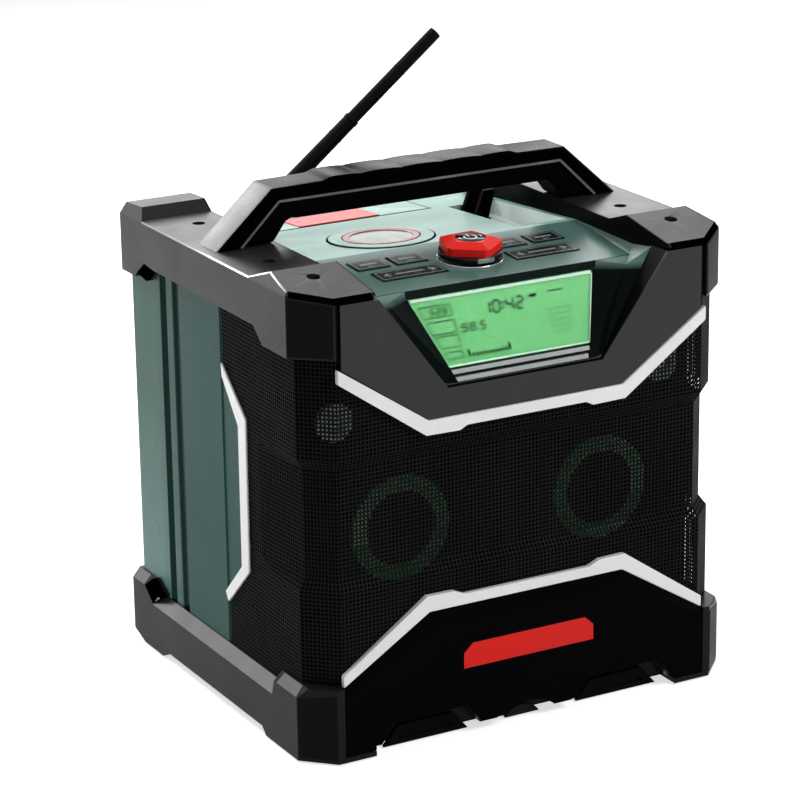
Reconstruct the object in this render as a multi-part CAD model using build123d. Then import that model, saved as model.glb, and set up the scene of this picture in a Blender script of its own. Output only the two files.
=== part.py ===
from build123d import *
import math
import os

# Jobsite radio. Millimetres, +Z up, front towards -Y, origin under the centre of the footprint.

# Driving dimensions of the cabinet
HALF_WIDTH = 141.0          # base bumper, half of the overall width
HALF_DEPTH = 117.5          # base bumper, half of the overall depth
FRAME_HALF_WIDTH = 140.0    # top frame
FRAME_FRONT = -115.0
FRAME_BACK = 116.5
CORNER_X = 20.0             # front corner chamfer across
CORNER_Y = 18.0             # front corner chamfer along the side

# Levels
BASE_TOP = 45.0             # peak of the base's corner uprights
LEDGE_OUTER = 30.0          # side ledge of the base, outer edge
LEDGE_INNER = 38.0          # side ledge of the base, at the side panel
SKIRT_MID = 243.5           # lower edge of the top frame along the sides
SKIRT_CORNER = 234.5        # lower edge of the top frame at the corners
RAIL_TOP = 270.0
BLOCK_TOP = 276.0
FRONT_CAP = 268.0
CAP_BEVEL = 2.6             # bevel round the front blocks' top
SCREW_HOLE = 3.8            # radius of the screw holes in the frame
SCREW_SINK = 4.0            # depth of the screw holes
DECK_JOINT_Y = -18.0        # line where the control strip meets the rear deck
DECK_JOINT_Z = 262.0
DECK_FALL = 0.07            # fall of the rear deck towards the back
STRIP_FRONT_Y = -88.0
STRIP_FRONT_Z = 258.0
DECK_HALF = 93.4
DECK_SKIN = 3.0
UNDERSIDE = 1.0             # lowest face of the base bumper; the rubber feet reach 0
FLOOR = 9.0                 # inner floor of the base bumper
LID_FRONT_Y = 73.5          # seam between deck and battery door

# Grille
GRILLE_FRONT = -112.5
GRILLE_SIDE = 135.2
GRILLE_SKIN = 2.0
TIER_DEPTH = 4.5            # the middle tier lies this much further in
TIER_LOW = 106.5
TIER_HIGH = 170.0
TIER_RAMP = 6.3
GRILLE_SPLIT = 116.6        # front grille meets the side grilles here
GRILLE_END_Y = -8.0

# Fascia and trims
FASCIA_FRONT = -114.8
FASCIA_BACK = -111.8
TRIM_FRONT = -115.8
PANEL_FACE = 135.0          # outer face of the green side panels
PANEL_INNER = 131.0
REAR_FACE = 113.0           # outer face of the rear cover

# Display, tilted back, and the funnel that leads to it (right half: x, y, z)
DISPLAY_FOOT = (45.4, -108.0, 216.9)
DISPLAY_LEAN = (0.4067, 0.578)   # outward and back per millimetre of rise
DISPLAY_TOP = 252.8
MOUTH_FOOT = (50.2, -111.6, 208.2)
MOUTH_LEAN = (0.7612, 0.2334)
MOUTH_TOP = 263.9
STRIP_CORNER = (62.0, -88.0, 257.9)
SHELF_TIP = (77.4, -96.0, 255.3)
FOLD_FOOT = (85.2, -87.4, 258.0)
FOLD_TOP = (DECK_HALF, -78.4, 260.9)

# Handle
HANDLE_Y = (0.0, 26.0)
HANDLE_TOP = 302.0
GRIP_SKIN = 1.2

# Knob
KNOB_Y = -53.0
KNOB_TILT = math.degrees(math.atan((DECK_JOINT_Z - STRIP_FRONT_Z) / (DECK_JOINT_Y - STRIP_FRONT_Y)))
KNOB_RADIUS = 18.3
KNOB_SIDES = 5
KNOB_TURN = -16.1           # direction of one corner of the cap, degrees
KNOB_LOW = 5.6              # cap's lower edge, shoulder and top, over the strip
KNOB_SHOULDER = 10.0
KNOB_TOP = 12.7
CAP_CORNER = 19.4           # corner radius of the cap before it is rounded, at the shoulder
CROWN_CORNER = 11.9         # the same at the top
SHAFT_RADIUS = 3.0

# Antenna
ANTENNA_PIVOT = (-82.0, 60.0, 266.5)
ANTENNA_ANGLE = 38.5
ANTENNA_LENGTH = 160.0
FORK_FOOT = 255.0
PIN_RADIUS = 2.0
PIN_FIT = 0.05

# Battery door
DOOR_HALF = 61.0
DOOR_CENTRE = -15.0
DOOR_GAP = 0.8              # gap at each side of the door
DOOR_HINGE = (114.0, 84.0)  # y, z of the hinge axis
DOOR_PIN_RADIUS = 1.5
KNUCKLE_RADIUS = 3.2
KNUCKLE_X = 49.0            # door knuckles, from the middle of the door
LUG_X = 30.0                # lugs of the rear cover, from the middle of the door
LATCH_HALF = 27.0
LATCH_SINK = 1.7            # depth of the latch seat in the lid
FLAP_HINGE = (115.3, 85.4)  # y, z of the inlet flap hinge
FLAP_X = 100.0

# Speakers
WOOFER_X = 66.0
WOOFER_Z = 121.0
BAFFLE_FRONT = -85.0
TWEETER_X = 107.0
TWEETER_Z = 190.0

# Badge on the apron: outlines in the front view
BADGE_OUTER = [(-48.8, 38.4), (48.8, 38.4), (48.8, 52.4), (43.2, 58.2), (-43.2, 58.2), (-48.8, 52.4)]
BADGE_INNER = [(-43.1, 41.0), (43.1, 41.0), (43.1, 50.6), (37.2, 56.0), (-37.2, 56.0), (-43.1, 50.6)]

# Windows in the apron's lower edge, and the sunk plates behind them, in the front view
APRON_LOW = 7.0             # lower edge of the apron between the corner feet
WINDOW = [(30.4, 0.0), (30.4, 4.0), (39.8, 18.5), (89.3, 18.5), (98.4, 4.0), (98.4, 0.0)]
WINDOW_BACK = -107.0        # back of the windows, in the base
ARCH_RADIUS = 27.0          # arch between the windows
ARCH_TOP = 12.5
PLATE = [(36.3, 0.8), (91.5, 0.8), (81.4, 12.7), (46.4, 12.7)]
PLATE_SLOT = [(45.0, 4.2), (82.4, 4.2), (78.0, 9.4), (50.0, 9.4)]
PLATE_THICK = 2.4
BOSS_RADIUS = 13.5          # half-round boss under the arch
BOSS_TOP = 7.2

# Green field inside the white bracket on each side, in the side view
BRACKET_FIELD = [(-5.0, 204.6), (-31.6, 180.2), (-31.2, 91.6), (-5.0, 66.4)]

# Dark diamond recesses behind the side columns, in the side view
TOP_NOTCH = [(95.9, 236.9), (84.7, 245.3), (71.7, 243.9), (82.2, 235.1)]
BASE_NOTCH = [(100.5, 39.3), (89.5, 30.9), (75.4, 39.4), (89.7, 46.7)]
NOTCH_FLOOR = 137.4

PLANES = {
    "XY": (Plane.XY, Vector(0, 0, 1)),
    "XZ": (Plane.XZ, Vector(0, 1, 0)),
    "YZ": (Plane.YZ, Vector(1, 0, 0)),
}


def prism(plane, points, low, high):
    """Straight outline on a plane, raised between two levels of the remaining axis."""
    base, axis = PLANES[plane]
    face = Pos(*(axis * low)) * (base * Polygon(*points, align=None))
    return extrude(face, amount=high - low, dir=axis)


def front_loft(*rings):
    """Ruled solid between front-view outlines, each given with its depth."""
    faces = [Pos(0, y, 0) * (Plane.XZ * Polygon(*ring, align=None)) for y, ring in rings]
    return loft(faces, ruled=True)


def block(x, y, z):
    """Box between pairs of limits."""
    centre = [(a + b) / 2 for a, b in (x, y, z)]
    sizes = [b - a for a, b in (x, y, z)]
    return Pos(*centre) * Box(*sizes)


def mirrored(points):
    """Outline of the right half followed back by its mirror on the left."""
    return points + [(-x, z) for x, z in reversed(points)]


def flipped(shape):
    """Mirror image on the other side of the middle plane."""
    return mirror(shape, about=Plane.YZ)


def plan(half_width, front, back, cut_x, cut_y):
    """Plan outline: front corners cut off, rear corners square."""
    right = [(half_width - cut_x, front), (half_width, front + cut_y), (half_width, back)]
    return right + [(-x, y) for x, y in reversed(right)]


def round_bar(start, end, radius_start, radius_end=None):
    """Round bar or taper between two points."""
    line = Vector(*end) - Vector(*start)
    place = Plane(origin=start, z_dir=line).location
    low_end = (Align.CENTER, Align.CENTER, Align.MIN)
    if radius_end is None or radius_end == radius_start:
        return place * Cylinder(radius_start, line.length, align=low_end)
    return place * Cone(radius_start, radius_end, line.length, align=low_end)


def deck_height(y):
    """Top surface of the control deck at a depth."""
    if y > DECK_JOINT_Y:
        return DECK_JOINT_Z - DECK_FALL * (y - DECK_JOINT_Y)
    share = (y - DECK_JOINT_Y) / (STRIP_FRONT_Y - DECK_JOINT_Y)
    return DECK_JOINT_Z + share * (STRIP_FRONT_Z - DECK_JOINT_Z)


# Base and feet


def make_base_bumper():
    """Moulded tray with raised corners, open in the middle of each long side."""
    outline = plan(HALF_WIDTH, -HALF_DEPTH, HALF_DEPTH, 17.0, 17.0)
    body = prism("XY", outline, UNDERSIDE, BASE_TOP)
    cavity = plan(PANEL_FACE + 0.4, -109.4, REAR_FACE + 0.5, 24.0, 22.0)
    body -= prism("XY", cavity, FLOOR, 50.0)
    ledge = [(-78.0, 60.0), (-70.0, LEDGE_OUTER), (89.6, LEDGE_OUTER), (93.0, 60.0)]
    slope = [
        (PANEL_FACE, LEDGE_INNER), (HALF_WIDTH, LEDGE_OUTER), (150.0, LEDGE_OUTER),
        (150.0, 60.0), (PANEL_FACE, 60.0),
    ]
    ledge_cut = prism("YZ", ledge, PANEL_FACE, 150.0) & prism("XZ", slope, -120.0, 120.0)
    lip = [
        (HALF_WIDTH - 5.0, 50.0), (HALF_WIDTH - 5.0, BASE_TOP), (HALF_WIDTH, BASE_TOP - 6.0),
        (150.0, 38.0), (150.0, 50.0),
    ]
    notch = prism("YZ", BASE_NOTCH, NOTCH_FLOOR, 150.0)
    for tool in (ledge_cut, notch, prism("XZ", lip, -118.0, -66.0), prism("XZ", lip, 80.0, 118.0)):
        body -= tool
        body -= flipped(tool)
    backing = prism("YZ", BASE_NOTCH, PANEL_FACE + 0.4, NOTCH_FLOOR)
    body += backing
    body += flipped(backing)
    body += block((-103.0, 103.0), (-110.0, WINDOW_BACK + 3.0), (FLOOR - 1.0, 21.5))
    body -= block((-119.5, 119.5), (-118.0, -113.4), (4.0, 50.0))
    arch = [(-62.0, 0.0), (-56.0, 5.5), (72.0, 5.5), (78.0, 0.0)]
    body -= prism("YZ", arch, -150.0, 150.0)
    body -= block((-100.0, 100.0), (-118.0, 118.0), (0.0, 4.5))
    body -= prism("YZ", [(100.0, 0.0), (118.0, 0.0), (118.0, 6.0)], -150.0, 150.0)
    for tool in apron_windows():
        body -= tool
    boss_place = Pos(0, WINDOW_BACK - 0.9, BOSS_TOP - BOSS_RADIUS) * Rot(90, 0, 0)
    boss = boss_place * Cylinder(BOSS_RADIUS, PLATE_THICK)
    body += boss & block((-20.0, 20.0), (-118.0, -100.0), (UNDERSIDE, 20.0))
    for x, y in foot_places():
        body -= Pos(x, y, 2.0) * Cylinder(7.5, 2.0)
    return body


def apron_windows():
    """Two trapezoid windows and the arch between them, down to their back."""
    window = prism("XZ", WINDOW, -118.0, WINDOW_BACK)
    middle = (WINDOW_BACK - 118.0) / 2
    depth = WINDOW_BACK + 118.0
    arch = Pos(0, middle, ARCH_TOP - ARCH_RADIUS) * Rot(90, 0, 0) * Cylinder(ARCH_RADIUS, depth)
    return [window, flipped(window), arch]


def foot_places():
    """Centres of the four rubber feet."""
    return [(x, y) for x in (-118.0, 118.0) for y in (-88.0, 90.0)]


def make_rubber_feet():
    return [Pos(x, y, 1.5) * Cylinder(7.2, 3.0) for x, y in foot_places()]


def make_front_apron():
    """Lower front panel with a bevelled top edge, two windows and an arch in its lower edge."""
    lip = mirrored([(119.0, 4.6), (119.0, 42.0), (62.0, 70.0)])
    shoulder = mirrored([(119.0, 4.6), (119.0, 44.6), (63.6, 79.0)])
    body = front_loft((-HALF_DEPTH, lip), (-115.0, shoulder)) + prism("XZ", shoulder, -115.0, -113.4)
    for tool in apron_windows():
        body -= tool
    body -= block((-100.0, 100.0), (-118.0, -110.0), (0.0, APRON_LOW))
    body -= prism("XZ", BADGE_OUTER, -118.0, -116.7)
    return body - prism("XZ", BADGE_INNER, -118.0, -116.0)


def make_latch_plates():
    """Plates in the windows, each with a sunk slot."""
    front = WINDOW_BACK - PLATE_THICK
    plate = prism("XZ", PLATE, front, WINDOW_BACK) - prism("XZ", PLATE_SLOT, front, front + 1.2)
    return [plate, flipped(plate)]


def make_badge_bezel():
    return prism("XZ", BADGE_OUTER, -HALF_DEPTH, -116.7) - prism("XZ", BADGE_INNER, -118.0, -116.0)


def make_badge_plate():
    return prism("XZ", BADGE_INNER, -117.3, -116.0)


# Cabinet


def make_inner_case():
    """Tub that holds speakers and boards, with the walls of the battery bay at its back."""
    outer = mirrored([(127.0, -82.0), (127.0, -42.0), (130.8, -38.0), (130.8, 108.8)])
    tub = prism("XY", outer, FLOOR, 244.0)
    tub -= block((-124.0, 124.0), (-83.0, 105.8), (12.2, 245.0))
    tub += block((DOOR_CENTRE - 62.0, DOOR_CENTRE + 62.0), (57.0, 108.8), (83.0, 240.0))
    tub -= block((84.0, 116.0), (100.0, 110.0), (52.0, 84.0))
    return tub - block((DOOR_CENTRE - 59.0, DOOR_CENTRE + 59.0), (60.0, 110.0), (86.0, 245.0))


def make_speaker_baffle():
    plate = block((-127.0, 127.0), (BAFFLE_FRONT, -82.0), (FLOOR, 202.0))
    for x in (-1, 1):
        plate -= Pos(x * WOOFER_X, -83.5, WOOFER_Z) * Rot(90, 0, 0) * Cylinder(27.0, 5.0)
        plate -= Pos(x * TWEETER_X, -83.5, TWEETER_Z) * Rot(90, 0, 0) * Cylinder(8.0, 5.0)
    return plate


def make_side_panel(side):
    outline = [
        (PANEL_INNER, -46.0), (PANEL_INNER + 1.6, -46.0), (PANEL_INNER + 1.6, -6.0),
        (PANEL_FACE, -4.0), (PANEL_FACE, 49.0), (132.4, 52.0), (132.4, 57.0), (134.2, 60.0),
        (134.2, 68.0), (132.6, 71.0), (PANEL_FACE, 75.0), (PANEL_FACE, REAR_FACE + 0.5),
        (PANEL_INNER, REAR_FACE + 0.5),
    ]
    panel = prism("XY", outline, FLOOR, 262.0)
    panel += prism("YZ", BRACKET_FIELD, PANEL_INNER, 134.2)
    return panel if side > 0 else flipped(panel)


def make_rear_cover():
    """Back wall with the door opening, the hinge lugs, the inlet opening and vent slots."""
    cover = block((-130.8, 130.8), (109.0, REAR_FACE), (FLOOR, 249.8))
    door_x = (DOOR_CENTRE - DOOR_HALF - DOOR_GAP, DOOR_CENTRE + DOOR_HALF + DOOR_GAP)
    cover -= block(door_x, (100.0, 120.0), (78.0, 250.0))
    cover -= block((FLAP_X - 16.0, FLAP_X + 16.0), (100.0, 120.0), (52.0, 84.0))
    for z in range(180, 232, 8):
        cover -= block((62.0, 118.0), (111.0, 120.0), (z, z + 3.0))
    y, z = DOOR_HINGE
    for x in (DOOR_CENTRE - LUG_X, DOOR_CENTRE + LUG_X):
        lug = block((x - 8.0, x + 8.0), (109.0, 112.4), (77.0, z))
        lug += Pos(x, y, z) * Rot(0, 90, 0) * Cylinder(KNUCKLE_RADIUS, 16.0)
        lug += block((x - 8.0, x + 8.0), (112.0, y), (z - KNUCKLE_RADIUS, z))
        cover += lug - Pos(x, y, z) * Rot(0, 90, 0) * Cylinder(DOOR_PIN_RADIUS, 40.0)
    y, z = FLAP_HINGE
    for x in (FLAP_X - 17.4, FLAP_X + 17.4):
        lug = block((x - 1.4, x + 1.4), (REAR_FACE - 1.0, y + 1.9), (z - 1.9, z + 1.9))
        cover += lug - Pos(x, y, z) * Rot(0, 90, 0) * Cylinder(1.0, 10.0)
    return cover


def make_side_grille(side):
    """Corner and side part of the perforated sheet, in three tiers joined by ramps."""
    t = GRILLE_SKIN
    full = [
        (GRILLE_SIDE, GRILLE_END_Y), (GRILLE_SIDE, -50.0), (GRILLE_SIDE, -96.0),
        (118.5, GRILLE_FRONT), (GRILLE_SPLIT, GRILLE_FRONT), (GRILLE_SPLIT, GRILLE_FRONT + t),
        (117.7, GRILLE_FRONT + t), (GRILLE_SIDE - t, -96.8 + t), (GRILLE_SIDE - t, -50.0),
        (GRILLE_SIDE - t, GRILLE_END_Y),
    ]
    d = TIER_DEPTH
    sunk = [
        (GRILLE_SIDE, GRILLE_END_Y), (GRILLE_SIDE, -50.0), (GRILLE_SIDE - d, -94.1),
        (117.3, GRILLE_FRONT + d + 0.6), (GRILLE_SPLIT, GRILLE_FRONT + d),
        (GRILLE_SPLIT, GRILLE_FRONT + d + t), (116.8, GRILLE_FRONT + d + t),
        (GRILLE_SIDE - d - t, -93.0), (GRILLE_SIDE - t, -50.0), (GRILLE_SIDE - t, GRILLE_END_Y),
    ]
    levels = [
        (32.0, full), (TIER_LOW - TIER_RAMP, full), (TIER_LOW, sunk),
        (TIER_HIGH, sunk), (TIER_HIGH + TIER_RAMP, full), (240.0, full),
    ]
    sheet = None
    for (z_low, low), (z_high, high) in zip(levels, levels[1:]):
        if low is high:
            tier = prism("XY", low, z_low, z_high)
        else:
            foot = Pos(0, 0, z_low) * Polygon(*low, align=None)
            head = Pos(0, 0, z_high) * Polygon(*high, align=None)
            tier = loft([foot, head], ruled=True)
        sheet = tier if sheet is None else sheet + tier
    sheet -= block((100.0, 140.0), (-120.0, -77.0), (30.0, BASE_TOP + 0.2))
    sheet -= block((100.0, 140.0), (-120.0, -90.0), (SKIRT_CORNER - 0.1, 250.0))
    sheet -= block((116.0, 118.6), (-113.0, -110.0), (228.5, 250.0))
    sheet -= prism("YZ", BRACKET_FIELD, 130.0, 140.0)
    return sheet if side > 0 else flipped(sheet)


def make_front_grille():
    t = GRILLE_SKIN
    sunk = GRILLE_FRONT + TIER_DEPTH
    front = [
        (GRILLE_FRONT, 30.0), (GRILLE_FRONT, TIER_LOW - TIER_RAMP), (sunk, TIER_LOW),
        (sunk, TIER_HIGH), (GRILLE_FRONT, TIER_HIGH + TIER_RAMP), (GRILLE_FRONT, 240.0),
    ]
    section = front + [(y + t, z) for y, z in reversed(front)]
    sheet = prism("YZ", section, -GRILLE_SPLIT, GRILLE_SPLIT)
    outline = mirrored([(65.0, 83.0), (118.5, 49.5), (118.5, 224.5), (64.5, 187.0)])
    return sheet & prism("XZ", outline, -120.0, -100.0)


def make_upper_trim():
    right = [(62.9, 191.6), (119.0, 229.4), (119.0, 221.2), (65.0, 183.2), (43.0, 182.8), (38.5, 185.1)]
    return prism("XZ", mirrored(right), TRIM_FRONT, GRILLE_FRONT)


def make_lower_trim():
    right = [(63.6, 79.4), (119.0, 45.0), (119.0, 52.0), (65.5, 89.0), (48.0, 88.7), (41.0, 85.7)]
    return prism("XZ", mirrored(right), TRIM_FRONT, GRILLE_FRONT)


def make_side_trim(side):
    outer = [(-7.6, 208.5), (-36.8, 182.3), (-36.0, 91.3), (-7.8, 64.1)]
    inner = [(-4.3, 69.7), (-26.5, 91.8), (-27.0, 176.6), (-8.3, 200.5)]
    bracket = prism("YZ", outer + inner, GRILLE_SIDE, GRILLE_SIDE + 1.4)
    return bracket if side > 0 else flipped(bracket)


# Top frame, handle and fascia


def make_top_frame():
    """Roll-over frame: two hollow side halves with raised corners, joined by a web at the front."""
    outline = plan(FRAME_HALF_WIDTH, FRAME_FRONT, FRAME_BACK, CORNER_X, CORNER_Y)
    side_view = [
        (-116.0, SKIRT_CORNER), (-68.0, SKIRT_CORNER), (-57.6, SKIRT_MID), TOP_NOTCH[2],
        TOP_NOTCH[3], TOP_NOTCH[0], (97.5, SKIRT_CORNER), (117.0, SKIRT_CORNER),
        (117.0, BLOCK_TOP - 1.0), (96.0, BLOCK_TOP),
        (87.0, RAIL_TOP), (-52.0, RAIL_TOP), (-70.0, BLOCK_TOP), (-116.0, FRONT_CAP),
    ]
    half = prism("XY", outline, 230.0, 280.0) & prism("YZ", side_view, 94.0, 141.0)
    half = chamfer([edge for edge in half.edges() if is_cap_edge(edge)], CAP_BEVEL)
    right_of_wall = block((97.0, 150.0), (-120.0, 120.0), (220.0, 262.4))
    hollow = prism("XY", plan(PANEL_FACE + 0.4, -110.5, REAR_FACE + 0.9, 18.0, 16.0), 220.0, 262.4)
    half -= hollow & right_of_wall
    half -= block((90.0, 97.1), (-120.0, 120.0), (220.0, 250.0))
    half -= block((90.0, 119.6), (-120.0, -111.6), (220.0, 266.8))
    half -= prism("YZ", TOP_NOTCH, NOTCH_FLOOR, 150.0)
    edge = [(134.0, BLOCK_TOP + 1.0), (FRAME_HALF_WIDTH, 269.0), (150.0, 269.0), (150.0, 280.0)]
    half -= prism("XZ", edge, -116.0, 118.0)
    for x, y, top in frame_screw_places():
        if x > 0:
            half -= Pos(x, y, top) * Cylinder(SCREW_HOLE, 2 * SCREW_SINK)
    web = mirrored([(62.0, 193.5), (116.4, 230.7), (116.4, 263.0), (95.0, 263.0), (51.0, 204.5)])
    return half + flipped(half) + prism("XZ", web, -111.6, -108.6)


def is_cap_edge(edge):
    """Whether an edge bounds the top of a front block towards the front or the corner."""
    ends = [edge @ 0, edge @ 1]
    on_top = min(end.Z for end in ends) > FRONT_CAP - 1.0
    forward = max(end.Y for end in ends) < FRAME_FRONT + CORNER_Y + 0.1
    return on_top and forward and abs(ends[0].X - ends[1].X) > 5.0


def frame_screw_places():
    """Centre and top level of each screw in the frame."""
    places = []
    for x in (-1, 1):
        places.append((x * 115.8, -30.5, RAIL_TOP))
        places.append((x * 112.8, 65.4, RAIL_TOP))
        places.append((x * 115.7, -83.7, 273.6))
    return places


def make_frame_screws():
    """Screw heads at the bottom of their holes."""
    heads = []
    for x, y, top in frame_screw_places():
        heads.append(Pos(x, y, top - SCREW_SINK + 1.0) * Cylinder(SCREW_HOLE - 0.6, 2.0))
    return heads


def make_front_fascia():
    """Front plate round the opening, with a collar that runs back to the funnel."""
    right = [(63.0, 192.0), (116.2, 228.4), (116.2, 264.8), (92.8, 264.8), (50.0, 207.9)]
    plate = prism("XZ", mirrored(right), FASCIA_FRONT, FASCIA_BACK)
    opening = [(50.0, 207.9), (92.8, 264.8), (94.0, 264.8), (51.2, 206.7)]
    collar = prism("XZ", opening, FASCIA_BACK, -95.0)
    foot, head = mouth_edge(200.0), mouth_edge(270.0)
    collar -= prism("YZ", [foot[1:], head[1:], (-60.0, 270.0), (-60.0, 200.0)], 0.0, 120.0)
    return plate + collar + flipped(collar)


def mouth_edge(z):
    """Right edge of the opening at a level, on the back of the fascia's collar."""
    rise = z - MOUTH_FOOT[2]
    return (MOUTH_FOOT[0] + rise * MOUTH_LEAN[0], MOUTH_FOOT[1] + rise * MOUTH_LEAN[1], z)


def display_edge(z):
    """Right edge of the tilted display's face at a level."""
    rise = z - DISPLAY_FOOT[2]
    return (DISPLAY_FOOT[0] + rise * DISPLAY_LEAN[0], DISPLAY_FOOT[1] + rise * DISPLAY_LEAN[1], z)


def display_slab(front, back, margin):
    """Slab parallel to the display's face, between two depths behind it."""
    slope = math.sqrt(1.0 + DISPLAY_LEAN[1] ** 2)
    place = Plane(
        origin=(0, DISPLAY_FOOT[1], DISPLAY_FOOT[2]), x_dir=(1, 0, 0), z_dir=(0, 1.0, -DISPLAY_LEAN[1]),
    )
    rise = (DISPLAY_TOP - DISPLAY_FOOT[2]) * slope
    foot = DISPLAY_FOOT[0] + margin
    head = display_edge(DISPLAY_TOP)[0] + margin
    outline = [(foot, margin), (head, -rise - margin), (-head, -rise - margin), (-foot, margin)]
    face = place.offset(front) * Polygon(*outline, align=None)
    return extrude(face, amount=back - front, dir=place.z_dir)


def facet(points, push):
    """Flat face pushed into a solid."""
    return extrude(make_face(Polyline(*points, close=True)), amount=Vector(*push).length, dir=push)


def make_cheek():
    """Right side wall of the funnel, and the fold beside the control strip."""
    low_mouth, high_mouth = mouth_edge(209.5), mouth_edge(MOUTH_TOP)
    low_screen, high_screen = display_edge(209.5), display_edge(DISPLAY_TOP)
    outward = (1.0, 2.0, 0.0)
    cheek = facet([low_mouth, low_screen, SHELF_TIP], outward)
    cheek += facet([low_screen, high_screen, SHELF_TIP], outward)
    cheek += facet([high_screen, STRIP_CORNER, SHELF_TIP], outward)
    cheek += facet([low_mouth, SHELF_TIP, high_mouth], outward)
    strip_end = (DECK_HALF, DECK_JOINT_Y, DECK_JOINT_Z)
    folds = [
        (STRIP_CORNER, SHELF_TIP, FOLD_FOOT), (SHELF_TIP, high_mouth, FOLD_FOOT),
        (FOLD_FOOT, high_mouth, FOLD_TOP), (FOLD_FOOT, FOLD_TOP, strip_end),
    ]
    for fold in folds:
        cheek += facet(fold, (0.0, 0.0, -2.8))
    return cheek


def make_display_bezel():
    """Funnel from the opening down to the tilted display, with a stepped lip under it."""
    lip = [
        (-107.9, 216.4), (-110.2, 212.9), (-109.7, 212.3), (-112.2, 208.6),
        (-108.4, 208.6), (-104.0, 214.2),
    ]
    floor = prism("YZ", lip, -60.0, 60.0)
    floor &= prism("XZ", mirrored([(50.0, 207.9), (60.0, 221.2)]), -114.0, -100.0)
    cheek = make_cheek() - block((0.0, 120.0), (-120.0, -60.0), (190.0, 208.6))
    rim = display_slab(0.4, 6.0, 3.0)
    bezel = cheek + flipped(cheek) + floor + rim
    bezel -= display_slab(-1.0, 8.0, 0.0)
    for neighbour in (make_control_deck(), make_top_frame()):
        bezel -= neighbour
    return bezel


def make_display_window():
    return display_slab(0.0, 1.4, 0.0)


def make_lcd_module():
    return display_slab(1.5, 6.5, 0.0)


def make_control_deck():
    """Top panel: control strip, rear deck, and a sunk well on the right for the folded antenna."""
    y_back = REAR_FACE
    top = [(STRIP_FRONT_Y, STRIP_FRONT_Z), (DECK_JOINT_Y, DECK_JOINT_Z), (y_back, deck_height(y_back))]
    under = [(y, z - DECK_SKIN) for y, z in reversed(top[1:])]
    front_wall = [(-85.0, deck_height(-85.0) - DECK_SKIN), (-85.0, 253.8), (STRIP_FRONT_Y, 253.8)]
    plate = prism("YZ", top + under + front_wall, -DECK_HALF, DECK_HALF)
    door_x = (DOOR_CENTRE - DOOR_HALF - DOOR_GAP, DOOR_CENTRE + DOOR_HALF + DOOR_GAP)
    plate -= block(door_x, (LID_FRONT_Y, 120.0), (240.0, 262.0))
    well_top = [(-20.0, 244.2), (-20.0, 260.4), (72.0, 254.2), (72.0, 244.2)]
    plate += prism("YZ", well_top, 52.0, DECK_HALF)
    plate -= prism("XZ", [(54.0, 270.0), (58.0, 247.4), (88.0, 247.4), (92.4, 270.0)], -12.0, 70.0)
    plate -= knob_place() * Cylinder(5.0, 20.0)
    for x, y, width, depth in button_places():
        plate -= strip_place(x, y) * Box(width + 0.8, depth + 0.8, 20.0)
    plate -= dish_place() * Cylinder(31.3, 1.6)
    x, y, z = ANTENNA_PIVOT
    return plate - block((x - 7.6, x + 7.6), (y - 8.6, y + 8.6), (FORK_FOOT, 262.0))


def dish_place():
    """Middle of the round dish, square to the rear deck."""
    return Pos(-20.0, 15.0, deck_height(15.0)) * Rot(-math.degrees(math.atan(DECK_FALL)), 0, 0)


def make_dish_ring():
    return dish_place() * (Cylinder(31.0, 1.6) - Cylinder(22.0, 4.0))


def make_dish_disc():
    return dish_place() * Pos(0, 0, -0.2) * Cylinder(21.7, 1.2)


def bar_outline():
    """Front view of the handle's hard core."""
    right = [(96.1, HANDLE_TOP - 2.0), (129.9, RAIL_TOP), (96.0, RAIL_TOP), (88.0, 281.0), (84.0, 283.0)]
    return mirrored(right)


def make_handle():
    return prism("XZ", bar_outline(), HANDLE_Y[0] + GRIP_SKIN, HANDLE_Y[1] - GRIP_SKIN)


def make_handle_grip():
    """Soft sleeve over the outer edge of the bar, down to both feet."""
    band = mirrored([(97.0, HANDLE_TOP), (132.6, RAIL_TOP), (118.2, RAIL_TOP), (93.0, 294.0)])
    return prism("XZ", band, *HANDLE_Y) - make_handle()


# Speakers and electronics


def make_woofer(part, side):
    place = Pos(side * WOOFER_X, BAFFLE_FRONT, WOOFER_Z) * Rot(90, 0, 0)
    flat = (Align.CENTER, Align.CENTER, Align.MIN)
    if part == "ring":
        return place * (Cylinder(31.0, 2.4, align=flat) - Cylinder(22.0, 8.0))
    if part == "basket":
        shell = Pos(0, 0, -24.0) * Cone(13.0, 26.6, 24.0, align=flat)
        return place * (shell - Pos(0, 0, -22.0) * Cone(12.0, 25.6, 24.0, align=flat))
    if part == "cone":
        cone = Pos(0, 0, -14.0) * Cone(8.0, 21.4, 14.0, align=flat)
        cone += Pos(0, 0, -0.8) * Cylinder(23.6, 0.8, align=flat)
        return place * (cone - Pos(0, 0, -12.8) * Cone(7.4, 21.0, 14.0, align=flat))
    return place * (Pos(0, 0, -36.0) * Cylinder(17.0, 12.0, align=flat))


def make_tweeter(side):
    """Small round driver with a sunk face, on the baffle's front."""
    place = Pos(side * TWEETER_X, BAFFLE_FRONT, TWEETER_Z) * Rot(90, 0, 0)
    flat = (Align.CENTER, Align.CENTER, Align.MIN)
    dome = Pos(0, 0, 1.5) * Cone(5.5, 3.0, 2.0, align=flat)
    body = Cylinder(11.0, 4.0, align=flat) - Pos(0, 0, 1.5) * Cylinder(6.5, 4.0, align=flat)
    return place * (body + dome)


def make_main_board():
    return display_slab(6.5, 8.1, 0.0)


def make_amplifier_board():
    return block((-110.0, 110.0), (-30.0, 40.0), (12.2, 13.8))


def make_encoder():
    """Encoder housing hung under the deck, bored for its shaft."""
    housing = Pos(0, 0, -10.5) * Box(16.0, 16.0, 15.0)
    return knob_place() * (housing - Pos(0, 0, -10.5) * Cylinder(SHAFT_RADIUS + PIN_FIT, 20.0))


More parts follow.
